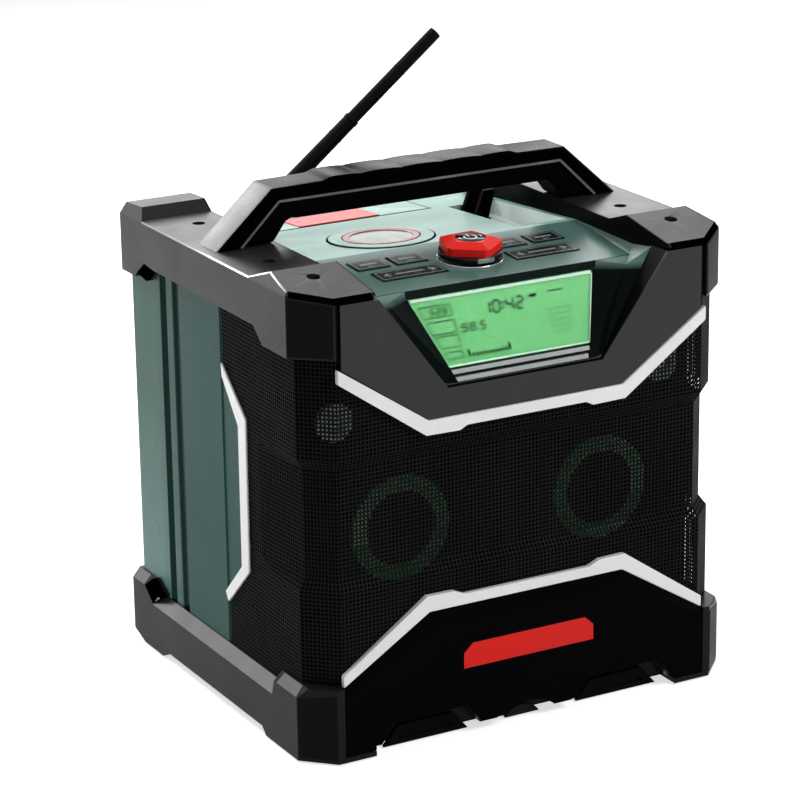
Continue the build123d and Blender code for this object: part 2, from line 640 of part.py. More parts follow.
def strip_place(x, y):
    """Place on the control strip's surface, square to the strip."""
    return Pos(x, y, deck_height(y)) * Rot(KNOB_TILT, 0, 0)


def knob_place():
    return strip_place(0, KNOB_Y)


def make_encoder_shaft():
    return knob_place() * Pos(0, 0, -4.0) * Cylinder(SHAFT_RADIUS, 24.0)


def make_knob_seat():
    """Flat ring on the strip under the knob."""
    return knob_place() * Pos(0, 0, 0.4) * (Cylinder(19.0, 0.8) - Cylinder(5.0, 4.0))


def make_knob_skirt():
    """Lower ring of the knob, bored for the shaft."""
    return knob_place() * Pos(0, 0, 4.0) * (Cylinder(18.4, 3.2) - Cylinder(SHAFT_RADIUS + PIN_FIT, 8.0))


def make_knob_cap():
    """Five-sided cap with a sloping crown and a sunk centre, standing on the skirt."""
    low = (Align.CENTER, Align.CENTER, Align.MIN)
    wide = RegularPolygon(CAP_CORNER, KNOB_SIDES)
    wall = Pos(0, 0, KNOB_LOW) * extrude(wide, KNOB_SHOULDER - KNOB_LOW)
    narrow = RegularPolygon(CROWN_CORNER, KNOB_SIDES)
    crown = loft([Pos(0, 0, KNOB_SHOULDER) * wide, Pos(0, 0, KNOB_TOP) * narrow])
    cap = Rot(0, 0, KNOB_TURN) * (wall + crown)
    cap &= Pos(0, 0, KNOB_LOW) * Cylinder(KNOB_RADIUS, KNOB_TOP, align=low)
    cap -= Pos(0, 0, 12.0) * Cylinder(9.0, 2.0, align=low)
    cap -= Pos(0, 0, 5.0) * Cylinder(SHAFT_RADIUS + PIN_FIT, 3.4, align=low)
    return knob_place() * cap


def button_places():
    """Centre, width and depth of each push button in the control strip."""
    places = []
    for side in (-1, 1):
        places.append((side * 32.7, -38.5, 20.4, 15.0))
        places.append((side * 57.4, -38.5, 21.0, 15.0))
        places.append((side * 43.2, -60.5, 42.0, 15.0))
    return places


def make_button(button):
    """Key that stands a little proud of the strip, with a stop flange under it."""
    x, y, width, depth = button
    key = Pos(0, 0, -2.6) * Box(width, depth, 6.4)
    flange = Pos(0, 0, -4.2) * Box(width + 2.4, depth + 2.4, 1.2)
    return strip_place(x, y) * (key + flange)


# Antenna


def antenna_point(distance):
    """Point on the antenna's axis at a distance from its pivot."""
    angle = math.radians(ANTENNA_ANGLE)
    x, y, z = ANTENNA_PIVOT
    return (x + distance * math.cos(angle), y, z + distance * math.sin(angle))


def make_antenna_base():
    """Fork on the deck that carries the hinge pin."""
    x, y, z = ANTENNA_PIVOT
    fork = block((x - 7.4, x + 7.4), (y - 8.4, y + 8.4), (FORK_FOOT, z))
    fork += Pos(x, y, z) * Rot(90, 0, 0) * Cylinder(7.4, 16.8)
    fork -= block((x - 9.0, x + 9.0), (y - 4.6, y + 4.6), (259.0, z + 10.0))
    return fork - Pos(x, y, z) * Rot(90, 0, 0) * Cylinder(PIN_RADIUS, 30.0)


def make_antenna_pin():
    return Pos(*ANTENNA_PIVOT) * Rot(90, 0, 0) * Cylinder(PIN_RADIUS, 16.0)


def make_antenna():
    """Knuckle and tapered rod, in one moulding that turns on the pin."""
    knuckle = Pos(*ANTENNA_PIVOT) * Rot(90, 0, 0) * Cylinder(5.6, 8.4)
    rod = round_bar(antenna_point(3.0), antenna_point(ANTENNA_LENGTH), 4.1, 3.9)
    sleeve = round_bar(antenna_point(8.0), antenna_point(84.0), 4.9, 4.5)
    antenna = knuckle + (rod + sleeve)
    return antenna - Pos(*ANTENNA_PIVOT) * Rot(90, 0, 0) * Cylinder(PIN_RADIUS + PIN_FIT, 30.0)


def make_antenna_clip():
    """Two prongs that take the folded antenna between them."""
    x = 70.0
    y = ANTENNA_PIVOT[1]
    foot = block((x - 8.0, x + 6.0), (y - 9.4, y + 9.4), (247.4, 250.4))
    prongs = foot
    for side in (-1, 1):
        low, high = sorted((y + side * 6.0, y + side * 9.0))
        slant = [(x - 6.0, 250.0), (x + 4.0, 250.0), (x + 9.0, 268.0), (x + 1.0, 268.0)]
        prongs += prism("XZ", slant, low, high)
    return prongs


# Rear


def make_battery_contacts():
    return block((DOOR_CENTRE - 30.0, DOOR_CENTRE + 30.0), (60.0, 64.0), (120.0, 200.0))


def make_battery_pack():
    """Slide-on pack that fills the bay behind the door."""
    pack = block((DOOR_CENTRE - 37.0, DOOR_CENTRE + 37.0), (64.0, 102.0), (100.0, 214.0))
    pack -= block((DOOR_CENTRE - 40.0, DOOR_CENTRE - 31.0), (60.0, 76.0), (99.0, 215.0))
    pack -= block((DOOR_CENTRE + 31.0, DOOR_CENTRE + 40.0), (60.0, 76.0), (99.0, 215.0))
    return pack


def make_battery_door():
    """L-shaped lid: back wall with a top flange, on a hinge along its lower edge."""
    y, z = DOOR_HINGE
    left = DOOR_CENTRE - DOOR_HALF
    right = DOOR_CENTRE + DOOR_HALF
    y_front = LID_FRONT_Y + 1.2
    lid = block((left, right), (109.4, REAR_FACE), (z + 4.0, 251.0))
    flange = [(y_front, deck_height(y_front)), (REAR_FACE, deck_height(REAR_FACE))]
    lid += prism("YZ", flange + [(a, b - DECK_SKIN) for a, b in reversed(flange)], left, right)
    for x in (DOOR_CENTRE - KNUCKLE_X, DOOR_CENTRE + KNUCKLE_X):
        lid += block((x - 10.0, x + 10.0), (109.4, REAR_FACE), (z, z + 5.0))
        lid += Pos(x, y, z) * Rot(0, 90, 0) * Cylinder(KNUCKLE_RADIUS, 20.0)
        lid -= Pos(x, y, z) * Rot(0, 90, 0) * Cylinder(DOOR_PIN_RADIUS + PIN_FIT, 40.0)
    seat = latch_outline(LID_FRONT_Y, 105.4, -LATCH_SINK, 4.0)
    return lid - prism("YZ", seat, DOOR_CENTRE - LATCH_HALF - 0.3, DOOR_CENTRE + LATCH_HALF + 0.3)


def latch_outline(y_front, y_back, low, high):
    """Side outline between two heights above the sloped lid."""
    front = deck_height(y_front)
    back = deck_height(y_back)
    return [(y_front, front + low), (y_back, back + low), (y_back, back + high), (y_front, front + high)]


def make_door_latch():
    plate = latch_outline(LID_FRONT_Y + 1.4, 100.6, 0.08 - LATCH_SINK, 0.6)
    return prism("YZ", plate, DOOR_CENTRE - LATCH_HALF, DOOR_CENTRE + LATCH_HALF)


def make_door_gasket():
    left = DOOR_CENTRE - 57.0
    right = DOOR_CENTRE + 57.0
    rim = block((left, right), (107.6, 109.4), (96.0, 240.0))
    return rim - block((left + 3.0, right - 3.0), (107.0, 110.0), (99.0, 237.0))


def make_door_pin():
    y, z = DOOR_HINGE
    return Pos(DOOR_CENTRE, y, z) * Rot(0, 90, 0) * Cylinder(DOOR_PIN_RADIUS, 2 * KNUCKLE_X + 18.0)


def make_power_inlet():
    """Socket block with three contact blades."""
    socket = block((FLAP_X - 15.6, FLAP_X + 15.6), (96.0, REAR_FACE - 1.0), (52.4, 83.6))
    socket -= block((FLAP_X - 11.0, FLAP_X + 11.0), (99.0, 120.0), (58.0, 76.0))
    for x in (-6.0, 0.0, 6.0):
        socket += block((FLAP_X + x - 1.0, FLAP_X + x + 1.0), (98.0, 109.0), (61.0, 65.0))
    return socket


def make_inlet_flap():
    """Cover of the inlet, hanging from a pin along its upper edge."""
    y, z = FLAP_HINGE
    flap = block((FLAP_X - 15.4, FLAP_X + 15.4), (REAR_FACE + 0.3, y + 0.4), (50.0, 83.0))
    flap += block((FLAP_X - 15.4, FLAP_X + 15.4), (y - 1.3, y + 0.4), (82.0, z))
    flap += Pos(FLAP_X, y, z) * Rot(0, 90, 0) * Cylinder(1.9, 30.8)
    return flap - Pos(FLAP_X, y, z) * Rot(0, 90, 0) * Cylinder(1.0 + PIN_FIT, 40.0)


def make_flap_pin():
    y, z = FLAP_HINGE
    return Pos(FLAP_X, y, z) * Rot(0, 90, 0) * Cylinder(1.0, 37.6)


NODES = {
    "base_bumper": make_base_bumper,
    "rubber_feet": make_rubber_feet,
    "front_apron": make_front_apron,
    "latch_plates": make_latch_plates,
    "badge_bezel": make_badge_bezel,
    "badge_plate": make_badge_plate,
    "inner_case": make_inner_case,
    "speaker_baffle": make_speaker_baffle,
    "rear_cover": make_rear_cover,
    "front_grille": make_front_grille,
    "upper_trim": make_upper_trim,
    "lower_trim": make_lower_trim,
    "top_frame": make_top_frame,
    "frame_screws": make_frame_screws,
    "front_fascia": make_front_fascia,
    "display_bezel": make_display_bezel,
    "display_window": make_display_window,
    "lcd_module": make_lcd_module,
    "control_deck": make_control_deck,
    "dish_ring": make_dish_ring,
    "dish_disc": make_dish_disc,
    "handle": make_handle,
    "handle_grip": make_handle_grip,
    "main_board": make_main_board,
    "amplifier_board": make_amplifier_board,
    "encoder": make_encoder,
    "encoder_shaft": make_encoder_shaft,
    "knob_seat": make_knob_seat,
    "knob_skirt": make_knob_skirt,
    "knob_cap": make_knob_cap,
    "antenna_base": make_antenna_base,
    "antenna_pin": make_antenna_pin,
    "antenna": make_antenna,
    "antenna_clip": make_antenna_clip,
    "battery_contacts": make_battery_contacts,
    "battery_pack": make_battery_pack,
    "battery_door": make_battery_door,
    "door_latch": make_door_latch,
    "door_gasket": make_door_gasket,
    "door_pin": make_door_pin,
    "power_inlet": make_power_inlet,
    "inlet_flap": make_inlet_flap,
    "flap_pin": make_flap_pin,
}
SIDES = {"left": -1, "right": 1}


def write(name, shape):
    """Write one node; a list of solids becomes one node of separate solids."""
    if isinstance(shape, list):
        shape = Compound(children=shape)
    export_step(shape, f"parts/{name}.step")


def main():
    os.makedirs("parts", exist_ok=True)
    for name, maker in NODES.items():
        write(name, maker())
    for word, side in SIDES.items():
        write(f"side_panel_{word}", make_side_panel(side))
        write(f"side_grille_{word}", make_side_grille(side))
    write("side_trims", [make_side_trim(side) for side in SIDES.values()])
    for part in ("ring", "basket", "cone", "magnet"):
        write(f"woofer_{part}s", [make_woofer(part, side) for side in SIDES.values()])
    write("tweeters", [make_tweeter(side) for side in SIDES.values()])
    for number, place in enumerate(button_places(), start=1):
        write(f"button_{number}", make_button(place))


main()
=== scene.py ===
"""Visual model of a jobsite radio, dressed around its packed construction frame."""

import logging
import math
from dataclasses import dataclass, field
from enum import Enum
from typing import Callable, Dict, List, Sequence, Tuple

import bmesh
import bpy
from mathutils import Matrix, Vector

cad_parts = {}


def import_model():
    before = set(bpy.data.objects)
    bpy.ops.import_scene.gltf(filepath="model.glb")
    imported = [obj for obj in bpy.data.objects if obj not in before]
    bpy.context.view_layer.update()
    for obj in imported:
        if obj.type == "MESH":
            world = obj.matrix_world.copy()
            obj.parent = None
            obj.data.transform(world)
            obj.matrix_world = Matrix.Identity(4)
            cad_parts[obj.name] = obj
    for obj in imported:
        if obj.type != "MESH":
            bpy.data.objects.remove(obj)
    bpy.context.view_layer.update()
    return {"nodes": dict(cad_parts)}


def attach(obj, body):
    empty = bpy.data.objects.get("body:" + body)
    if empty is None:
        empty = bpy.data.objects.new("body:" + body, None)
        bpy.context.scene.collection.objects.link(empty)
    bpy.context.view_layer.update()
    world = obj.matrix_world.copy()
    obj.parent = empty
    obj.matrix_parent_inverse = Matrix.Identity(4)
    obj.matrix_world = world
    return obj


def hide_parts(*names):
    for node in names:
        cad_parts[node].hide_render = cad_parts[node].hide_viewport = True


MM = 0.001
LOG = logging.getLogger("jobsite_radio")
Point2 = Tuple[float, float]
Point3 = Tuple[float, float, float]
Colour = Tuple[float, float, float]
Outline = Tuple[Point3, ...]
Stroke = Tuple[Point2, Point2, float]    # start, end and width
Socket = bpy.types.NodeSocket
SIDES = (-1, 1)
SIDE_NAMES = ("left", "right")
BUTTONS = tuple(f"button_{number}" for number in range(1, 7))
NEAR_BLACK = (0.002, 0.002, 0.0024)
WHITE = (1.0, 1.0, 1.0)
NOISE_SPAN = (0.3, 0.7)     # where most of a noise's values lie
FINISH_PREFIX = "finish_"   # keeps the finishes apart from the frame's own materials

# Levels of the construction frame in millimetres; a pair is a depth and a height
RAIL_TOP = 270.0
DECK_JOINT = (-18.0, 262.0)
STRIP_FRONT = (-88.0, 258.0)
DECK_FALL = 0.07
STRIP_SLOPE = (DECK_JOINT[1] - STRIP_FRONT[1]) / (DECK_JOINT[0] - STRIP_FRONT[0])
KNOB_Y = -53.0
ANTENNA_PIVOT = (-82.0, 60.0, 266.5)
ANTENNA_ANGLE = math.radians(38.5)


def deck_height(y: float) -> float:
    """Height of the control deck's top surface at a depth, in millimetres."""
    if y > DECK_JOINT[0]:
        return DECK_JOINT[1] - DECK_FALL * (y - DECK_JOINT[0])
    return DECK_JOINT[1] + STRIP_SLOPE * (y - DECK_JOINT[0])


# Materials


class Graph:
    """Short ways to add nodes to a node tree."""

    def __init__(self, tree: bpy.types.NodeTree) -> None:
        """Take up a tree.

        Args:
            tree: Node tree that receives the nodes.
        """
        self.tree = tree

    def feed(self, socket: Socket, value: object) -> None:
        """Link a socket to an output, or set it to a number, a vector or a colour."""
        if isinstance(value, Socket):
            self.tree.links.new(value, socket)
        else:
            socket.default_value = (*value, 1.0) if socket.type == "RGBA" else value

    def node(self, kind: str, **values: object) -> bpy.types.Node:
        """Add a node and feed its sockets; underscores in a name stand for spaces."""
        made = self.tree.nodes.new("ShaderNode" + kind)
        for name, value in values.items():
            self.feed(made.inputs[name.replace("_", " ")], value)
        return made

    def math(self, operation: str, first: object, second: object = 0.0) -> Socket:
        """Result of a math node on sockets or numbers."""
        node = self.node("Math")
        node.operation = operation
        for index, value in enumerate((first, second)):
            self.feed(node.inputs[index], value)
        return node.outputs["Value"]

    def seen(self) -> Socket:
        """1 for rays that look at a surface, mirror it or pass through to it, otherwise 0."""
        rays = self.node("LightPath").outputs
        seen = self.math("MAXIMUM", rays["Is Camera Ray"], rays["Is Glossy Ray"])
        return self.math("MAXIMUM", seen, rays["Is Transmission Ray"])


class Shader(Graph):
    """Builder round one material's node tree, in object coordinates."""

    def __init__(self, name: str) -> None:
        """Start a material with a plain principled surface.

        Args:
            name: Name of the material.
        """
        self.material = bpy.data.materials.new(FINISH_PREFIX + name)
        self.material.use_nodes = True
        super().__init__(self.material.node_tree)
        self.surface = self.tree.nodes["Principled BSDF"]
        self.place = self.node("TexCoord").outputs["Object"]

    def set(self, **values: object) -> None:
        """Feed sockets of the surface; underscores in a name stand for spaces."""
        for name, value in values.items():
            self.feed(self.surface.inputs[name.replace("_", " ")], value)

    def stretched(self, scale: Point3, turn: Point3 = (0.0, 0.0, 0.0)) -> Socket:
        """Object coordinates, scaled along each axis and turned by radians about each."""
        return self.node("Mapping", Vector=self.place, Scale=scale, Rotation=turn).outputs["Vector"]

    def noise(self, scale: float, detail: float = 3.0, vector: Socket | None = None) -> Socket:
        """Noise value between 0 and 1.

        Args:
            scale: Cells per metre.
            detail: Octaves.
            vector: Coordinates, or the object's own.

        Returns:
            The noise value.
        """
        vector = vector or self.place
        return self.node("TexNoise", Vector=vector, Scale=scale, Detail=detail).outputs["Fac"]

    def cells(self, scale: float) -> Socket:
        """Distance inside voronoi cells, for a leather-like moulding grain."""
        return self.node("TexVoronoi", Vector=self.place, Scale=scale).outputs["Distance"]

    def remap(
        self, value: Socket, low: float, high: float, to_low: float = 0.0, to_high: float = 1.0,
    ) -> Socket:
        """Value mapped from one range to another and held inside it.

        Args:
            value: The value to map.
            low: Start of the source range.
            high: End of the source range.
            to_low: Start of the result.
            to_high: End of the result.

        Returns:
            The mapped value.
        """
        node = self.node("MapRange", Value=value, From_Min=low, From_Max=high, To_Min=to_low, To_Max=to_high)
        return node.outputs["Result"]

    def blend(self, share: Socket, first: object, second: object) -> Socket:
        """Colour between two colours, each a tuple or a socket.

        Args:
            share: Share of the second colour.
            first: Colour at 0.
            second: Colour at 1.

        Returns:
            The mixed colour.
        """
        node = self.node("Mix", Factor=share)
        node.data_type = "RGBA"
        for name, colour in (("A", first), ("B", second)):
            self.feed(next(s for s in node.inputs if s.name == name and s.type == "RGBA"), colour)
        return next(s for s in node.outputs if s.type == "RGBA")

    def axis(self, name: str) -> Socket:
        """One component of the object coordinates."""
        return self.node("SeparateXYZ", Vector=self.place).outputs[name]

    def ramp(self, axis: str, start: float, end: float) -> Socket:
        """Share that grows from 0 to 1 between two places on an axis, in metres."""
        return self.remap(self.axis(axis), start, end)

    def clouds(self, scale: float, detail: float, low: float, high: float) -> Socket:
        """Soft noise of some cells per metre that drifts between two values."""
        return self.remap(self.noise(scale, detail), *NOISE_SPAN, low, high)

    def shine(self, low: float, high: float, scale: float = 35.0) -> None:
        """Let the roughness drift between two values in soft clouds."""
        self.set(Roughness=self.clouds(scale, 4.0, low, high))

    def bump(self, height: Socket, strength: float, distance: float) -> None:
        """Bump of the surface from a height value."""
        node = self.node("Bump", Height=height, Strength=strength, Distance=distance)
        self.set(Normal=node.outputs["Normal"])


@dataclass(frozen=True)
class Surface:
    """A named finish that can build its material."""

    name: str

    def dress(self, shader: Shader) -> None:
        """Set up the surface; each kind of finish does it in its own way."""

    def make(self) -> bpy.types.Material:
        """Build the material."""
        shader = Shader(self.name)
        self.dress(shader)
        return shader.material


@dataclass(frozen=True)
class MouldedPlastic(Surface):
    """Injection-moulded plastic: cloudy colour, fine grain, rubbed streaks, and painted shade in a band if
    asked.
    """

    colour: Colour
    pale: Colour
    roughness: float
    grain: float = 900.0
    grain_depth: float = 0.00006
    grain_strength: float = 0.35
    streak: float = 0.35
    specular: float = 0.5
    # painted shade: the axis and the band along it where colour and specular turn to the shaded ones
    painted_shade_axis: str = ""
    painted_shade_band: Point2 = (0.0, 0.0)
    painted_shade_colour: Colour = NEAR_BLACK
    painted_shade_specular: float = 0.02

    def dress(self, shader: Shader) -> None:
        """Set up the surface."""
        cloud = shader.remap(shader.noise(14.0, 4.0), 0.35, 0.7, 0.0, 0.5)
        streaks = shader.noise(60.0, 5.0, shader.stretched((1.0, 1.0, 0.12), (0.3, 0.2, 0.0)))
        share = shader.math("ADD", cloud, shader.remap(streaks, 0.6, 0.8, 0.0, self.streak))
        paint, specular = shader.blend(share, self.colour, self.pale), self.specular
        # painted shade: near black, with little specular, inside a band along one axis
        if self.painted_shade_axis:
            dark = shader.remap(shader.math("ABSOLUTE", shader.axis(self.painted_shade_axis)), *self.painted_shade_band)
            paint = shader.blend(dark, paint, self.painted_shade_colour)
            specular = shader.remap(dark, 0.0, 1.0, self.specular, self.painted_shade_specular)
        shader.set(Base_Color=paint, Specular_IOR_Level=specular)
        shader.shine(self.roughness - 0.05, self.roughness + 0.06)
        shader.bump(shader.cells(self.grain), self.grain_strength, self.grain_depth)


@dataclass(frozen=True)
class PanelPlastic(Surface):
    """Side panel plastic: a deep field in front, a paler column at the back as painted light, dark grooves
    between as painted shade.
    """

    field: Colour
    column: Colour
    foot: Colour
    groove: Colour
    grooves: Tuple[Point2, ...] = ((0.0495, 0.0598), (0.0684, 0.0752))
    edge: float = 0.0007
    column_y: Point2 = (0.045, 0.085)
    foot_z: Point2 = (0.17, 0.05)

    def dress(self, shader: Shader) -> None:
        """Set up the surface."""
        cloud = shader.clouds(9.0, 3.0, -0.12, 0.12)
        # painted light: the column at the back is paler than the field, and paler still towards its foot
        column = shader.blend(shader.ramp("Z", *self.foot_z), self.column, self.foot)
        paint = shader.blend(shader.math("ADD", shader.ramp("Y", *self.column_y), cloud), self.field, column)
        # painted shade along each groove
        for low, high in self.grooves:
            rise = shader.ramp("Y", low, low + self.edge)
            fall = shader.ramp("Y", high, high - self.edge)
            paint = shader.blend(shader.math("MULTIPLY", rise, fall), paint, self.groove)
        shader.set(Base_Color=paint, Specular_IOR_Level=0.05)
        shader.shine(0.26, 0.36)
        shader.bump(shader.cells(900.0), 0.3, 0.00005)


@dataclass(frozen=True)
class DeckPlastic(Surface):
    """Top panel plastic: painted shade near black at its front edge, deep green on the strip, pale behind
    the fold as painted light.
    """

    strip: Colour
    rear: Colour
    # painted shade along the front brink
    lip: Colour = (0.001, 0.008, 0.006)
    fold: Point2 = (-0.0184, -0.0176)
    brink: Point2 = (-0.0874, -0.0877)

    def dress(self, shader: Shader) -> None:
        """Set up the surface."""
        cloud = shader.clouds(16.0, 3.0, 0.0, 0.35)
        strip = shader.blend(cloud, self.strip, tuple(1.25 * c for c in self.strip))
        rear = shader.blend(cloud, self.rear, tuple(0.88 * c for c in self.rear))
        behind = shader.ramp("Y", *self.fold)
        # pale rear as painted light; near black front brink as painted shade
        paint = shader.blend(shader.ramp("Y", *self.brink), shader.blend(behind, strip, rear), self.lip)
        shader.set(Base_Color=paint, Specular_IOR_Level=shader.remap(behind, 0.0, 1.0, 0.05, 0.07))
        shader.shine(0.2, 0.28)
        shader.bump(shader.cells(1400.0), 0.1, 0.00002)


@dataclass(frozen=True)
class FunnelPlastic(Surface):
    """Plastic with painted shade: near black down in the funnel, green on its upper folds."""

    low_colour: Colour
    high_colour: Colour
    fold_z: Point2 = (0.2525, 0.2570)

    def dress(self, shader: Shader) -> None:
        """Set up the surface."""
        # painted shade: near black below the folds, in soft patches
        rise = shader.ramp("Z", *self.fold_z)
        patchy_shade = shader.clouds(26.0, 4.0, 0.8, 1.1)
        paint = shader.blend(shader.math("MULTIPLY", rise, patchy_shade), self.low_colour, self.high_colour)
        shader.set(Base_Color=paint, Specular_IOR_Level=shader.remap(rise, 0.0, 1.0, 0.03, 0.35))
        shader.shine(0.2, 0.3)
        shader.bump(shader.cells(1400.0), 0.15, 0.00003)


@dataclass(frozen=True)
class GlossPlastic(Surface):
    """Polished plastic with a slight waviness and fine wiping marks."""

    colour: Colour
    roughness: float = 0.12
    coat: float = 0.6
    specular: float = 0.5

    def dress(self, shader: Shader) -> None:
        """Set up the surface."""
        dull = tuple(0.86 * c + 0.012 for c in self.colour)
        share = shader.remap(shader.noise(22.0, 3.0), 0.45, 0.75, 0.0, 0.6)
        wipes = shader.noise(160.0, 4.0, shader.stretched((1.0, 0.15, 0.6), (0.0, 0.4, 0.7)))
        shader.set(
            Base_Color=shader.blend(share, self.colour, dull),
            Roughness=shader.remap(wipes, 0.4, 0.8, self.roughness, self.roughness + 0.1),
            Coat_Weight=self.coat, Coat_Roughness=0.04, Specular_IOR_Level=self.specular)
        shader.bump(shader.noise(40.0, 2.0), 0.05, 0.0004)


@dataclass(frozen=True)
class SoftRubber(Surface):
    """Matt thermoplastic rubber with a fine grain and dusty hollows."""

    colour: Colour
    roughness: float = 0.55
    specular: float = 0.4

    def dress(self, shader: Shader) -> None:
        """Set up the surface."""
        dusty = tuple(2.2 * c + 0.001 for c in self.colour)
        share = shader.remap(shader.noise(30.0, 6.0), 0.5, 0.75, 0.0, 0.5)
        shader.set(Base_Color=shader.blend(share, self.colour, dusty), Specular_IOR_Level=self.specular)
        shader.shine(self.roughness - 0.08, self.roughness + 0.08, 80.0)
        shader.bump(shader.noise(1800.0, 2.0), 0.25, 0.00008)


@dataclass(frozen=True)
class SleeveRubber(Surface):
    """Soft sleeve: black where it is faced, with a sheen at a flat angle, strongest on the legs."""

    colour: Colour
    leg_x: Point2 = (0.096, 0.098)
    sheen: Point2 = (0.02, 0.16)

    def dress(self, shader: Shader) -> None:
        """Set up the surface."""
        facing = shader.node("LayerWeight", Blend=0.5).outputs["Facing"]
        across = shader.math("ABSOLUTE", shader.axis("X"))
        sheen = shader.remap(across, *self.leg_x, *self.sheen)
        specular = shader.math("MULTIPLY", shader.remap(facing, 0.25, 0.42), sheen)
        shader.set(Base_Color=self.colour, Specular_IOR_Level=specular)
        shader.shine(0.24, 0.32, 60.0)
        shader.bump(shader.noise(1800.0, 2.0), 0.2, 0.00005)


@dataclass(frozen=True)
class Metal(Surface):
    """Bare or plated metal with brushing."""

    colour: Colour
    roughness: float = 0.25

    def dress(self, shader: Shader) -> None:
        """Set up the surface."""
        dark = tuple(0.7 * c for c in self.colour)
        brushing = shader.noise(300.0, 4.0, shader.stretched((1.0, 1.0, 0.08)))
        shader.set(
            Base_Color=shader.blend(shader.remap(brushing, 0.4, 0.7, 0.0, 0.6), self.colour, dark),
            Roughness=shader.remap(brushing, 0.3, 0.7, self.roughness, self.roughness + 0.12),
            Metallic=1.0)


@dataclass(frozen=True)
class LitScreen(Surface):
    """Back-lit display: bright green field, lighter towards its top edge."""

    low_colour: Colour
    high_colour: Colour
    strength: float
    field_z: Point2 = (0.209, 0.253)

    def dress(self, shader: Shader) -> None:
        """Set up the surface."""
        cloud = shader.clouds(28.0, 2.0, -0.12, 0.12)
        share = shader.math("ADD", shader.ramp("Z", *self.field_z), cloud)
        colour = shader.blend(share, self.low_colour, self.high_colour)
        shader.set(
            Base_Color=colour, Emission_Color=colour, Emission_Strength=self.strength,
            Roughness=0.35, Specular_IOR_Level=0.05)


@dataclass(frozen=True)
class ClearPane(Surface):
    """Thin clear pane with a few smears."""

    def dress(self, shader: Shader) -> None:
        """Set up the surface."""
        smear = shader.noise(45.0, 4.0, shader.stretched((1.0, 1.0, 0.4)))
        shader.set(
            Base_Color=(0.95, 1.0, 0.96), Roughness=shader.remap(smear, 0.45, 0.75, 0.0, 0.02),
            Transmission_Weight=1.0, IOR=1.12)


@dataclass(frozen=True)
class CircuitBoard(Surface):
    """Solder mask with paler traces."""

    def dress(self, shader: Shader) -> None:
        """Set up the surface."""
        traces = shader.remap(shader.noise(240.0, 1.0, shader.stretched((1.0, 0.2, 1.0))), 0.48, 0.52)
        shader.set(Base_Color=shader.blend(traces, (0.01, 0.12, 0.04), (0.02, 0.22, 0.08)), Roughness=0.3)


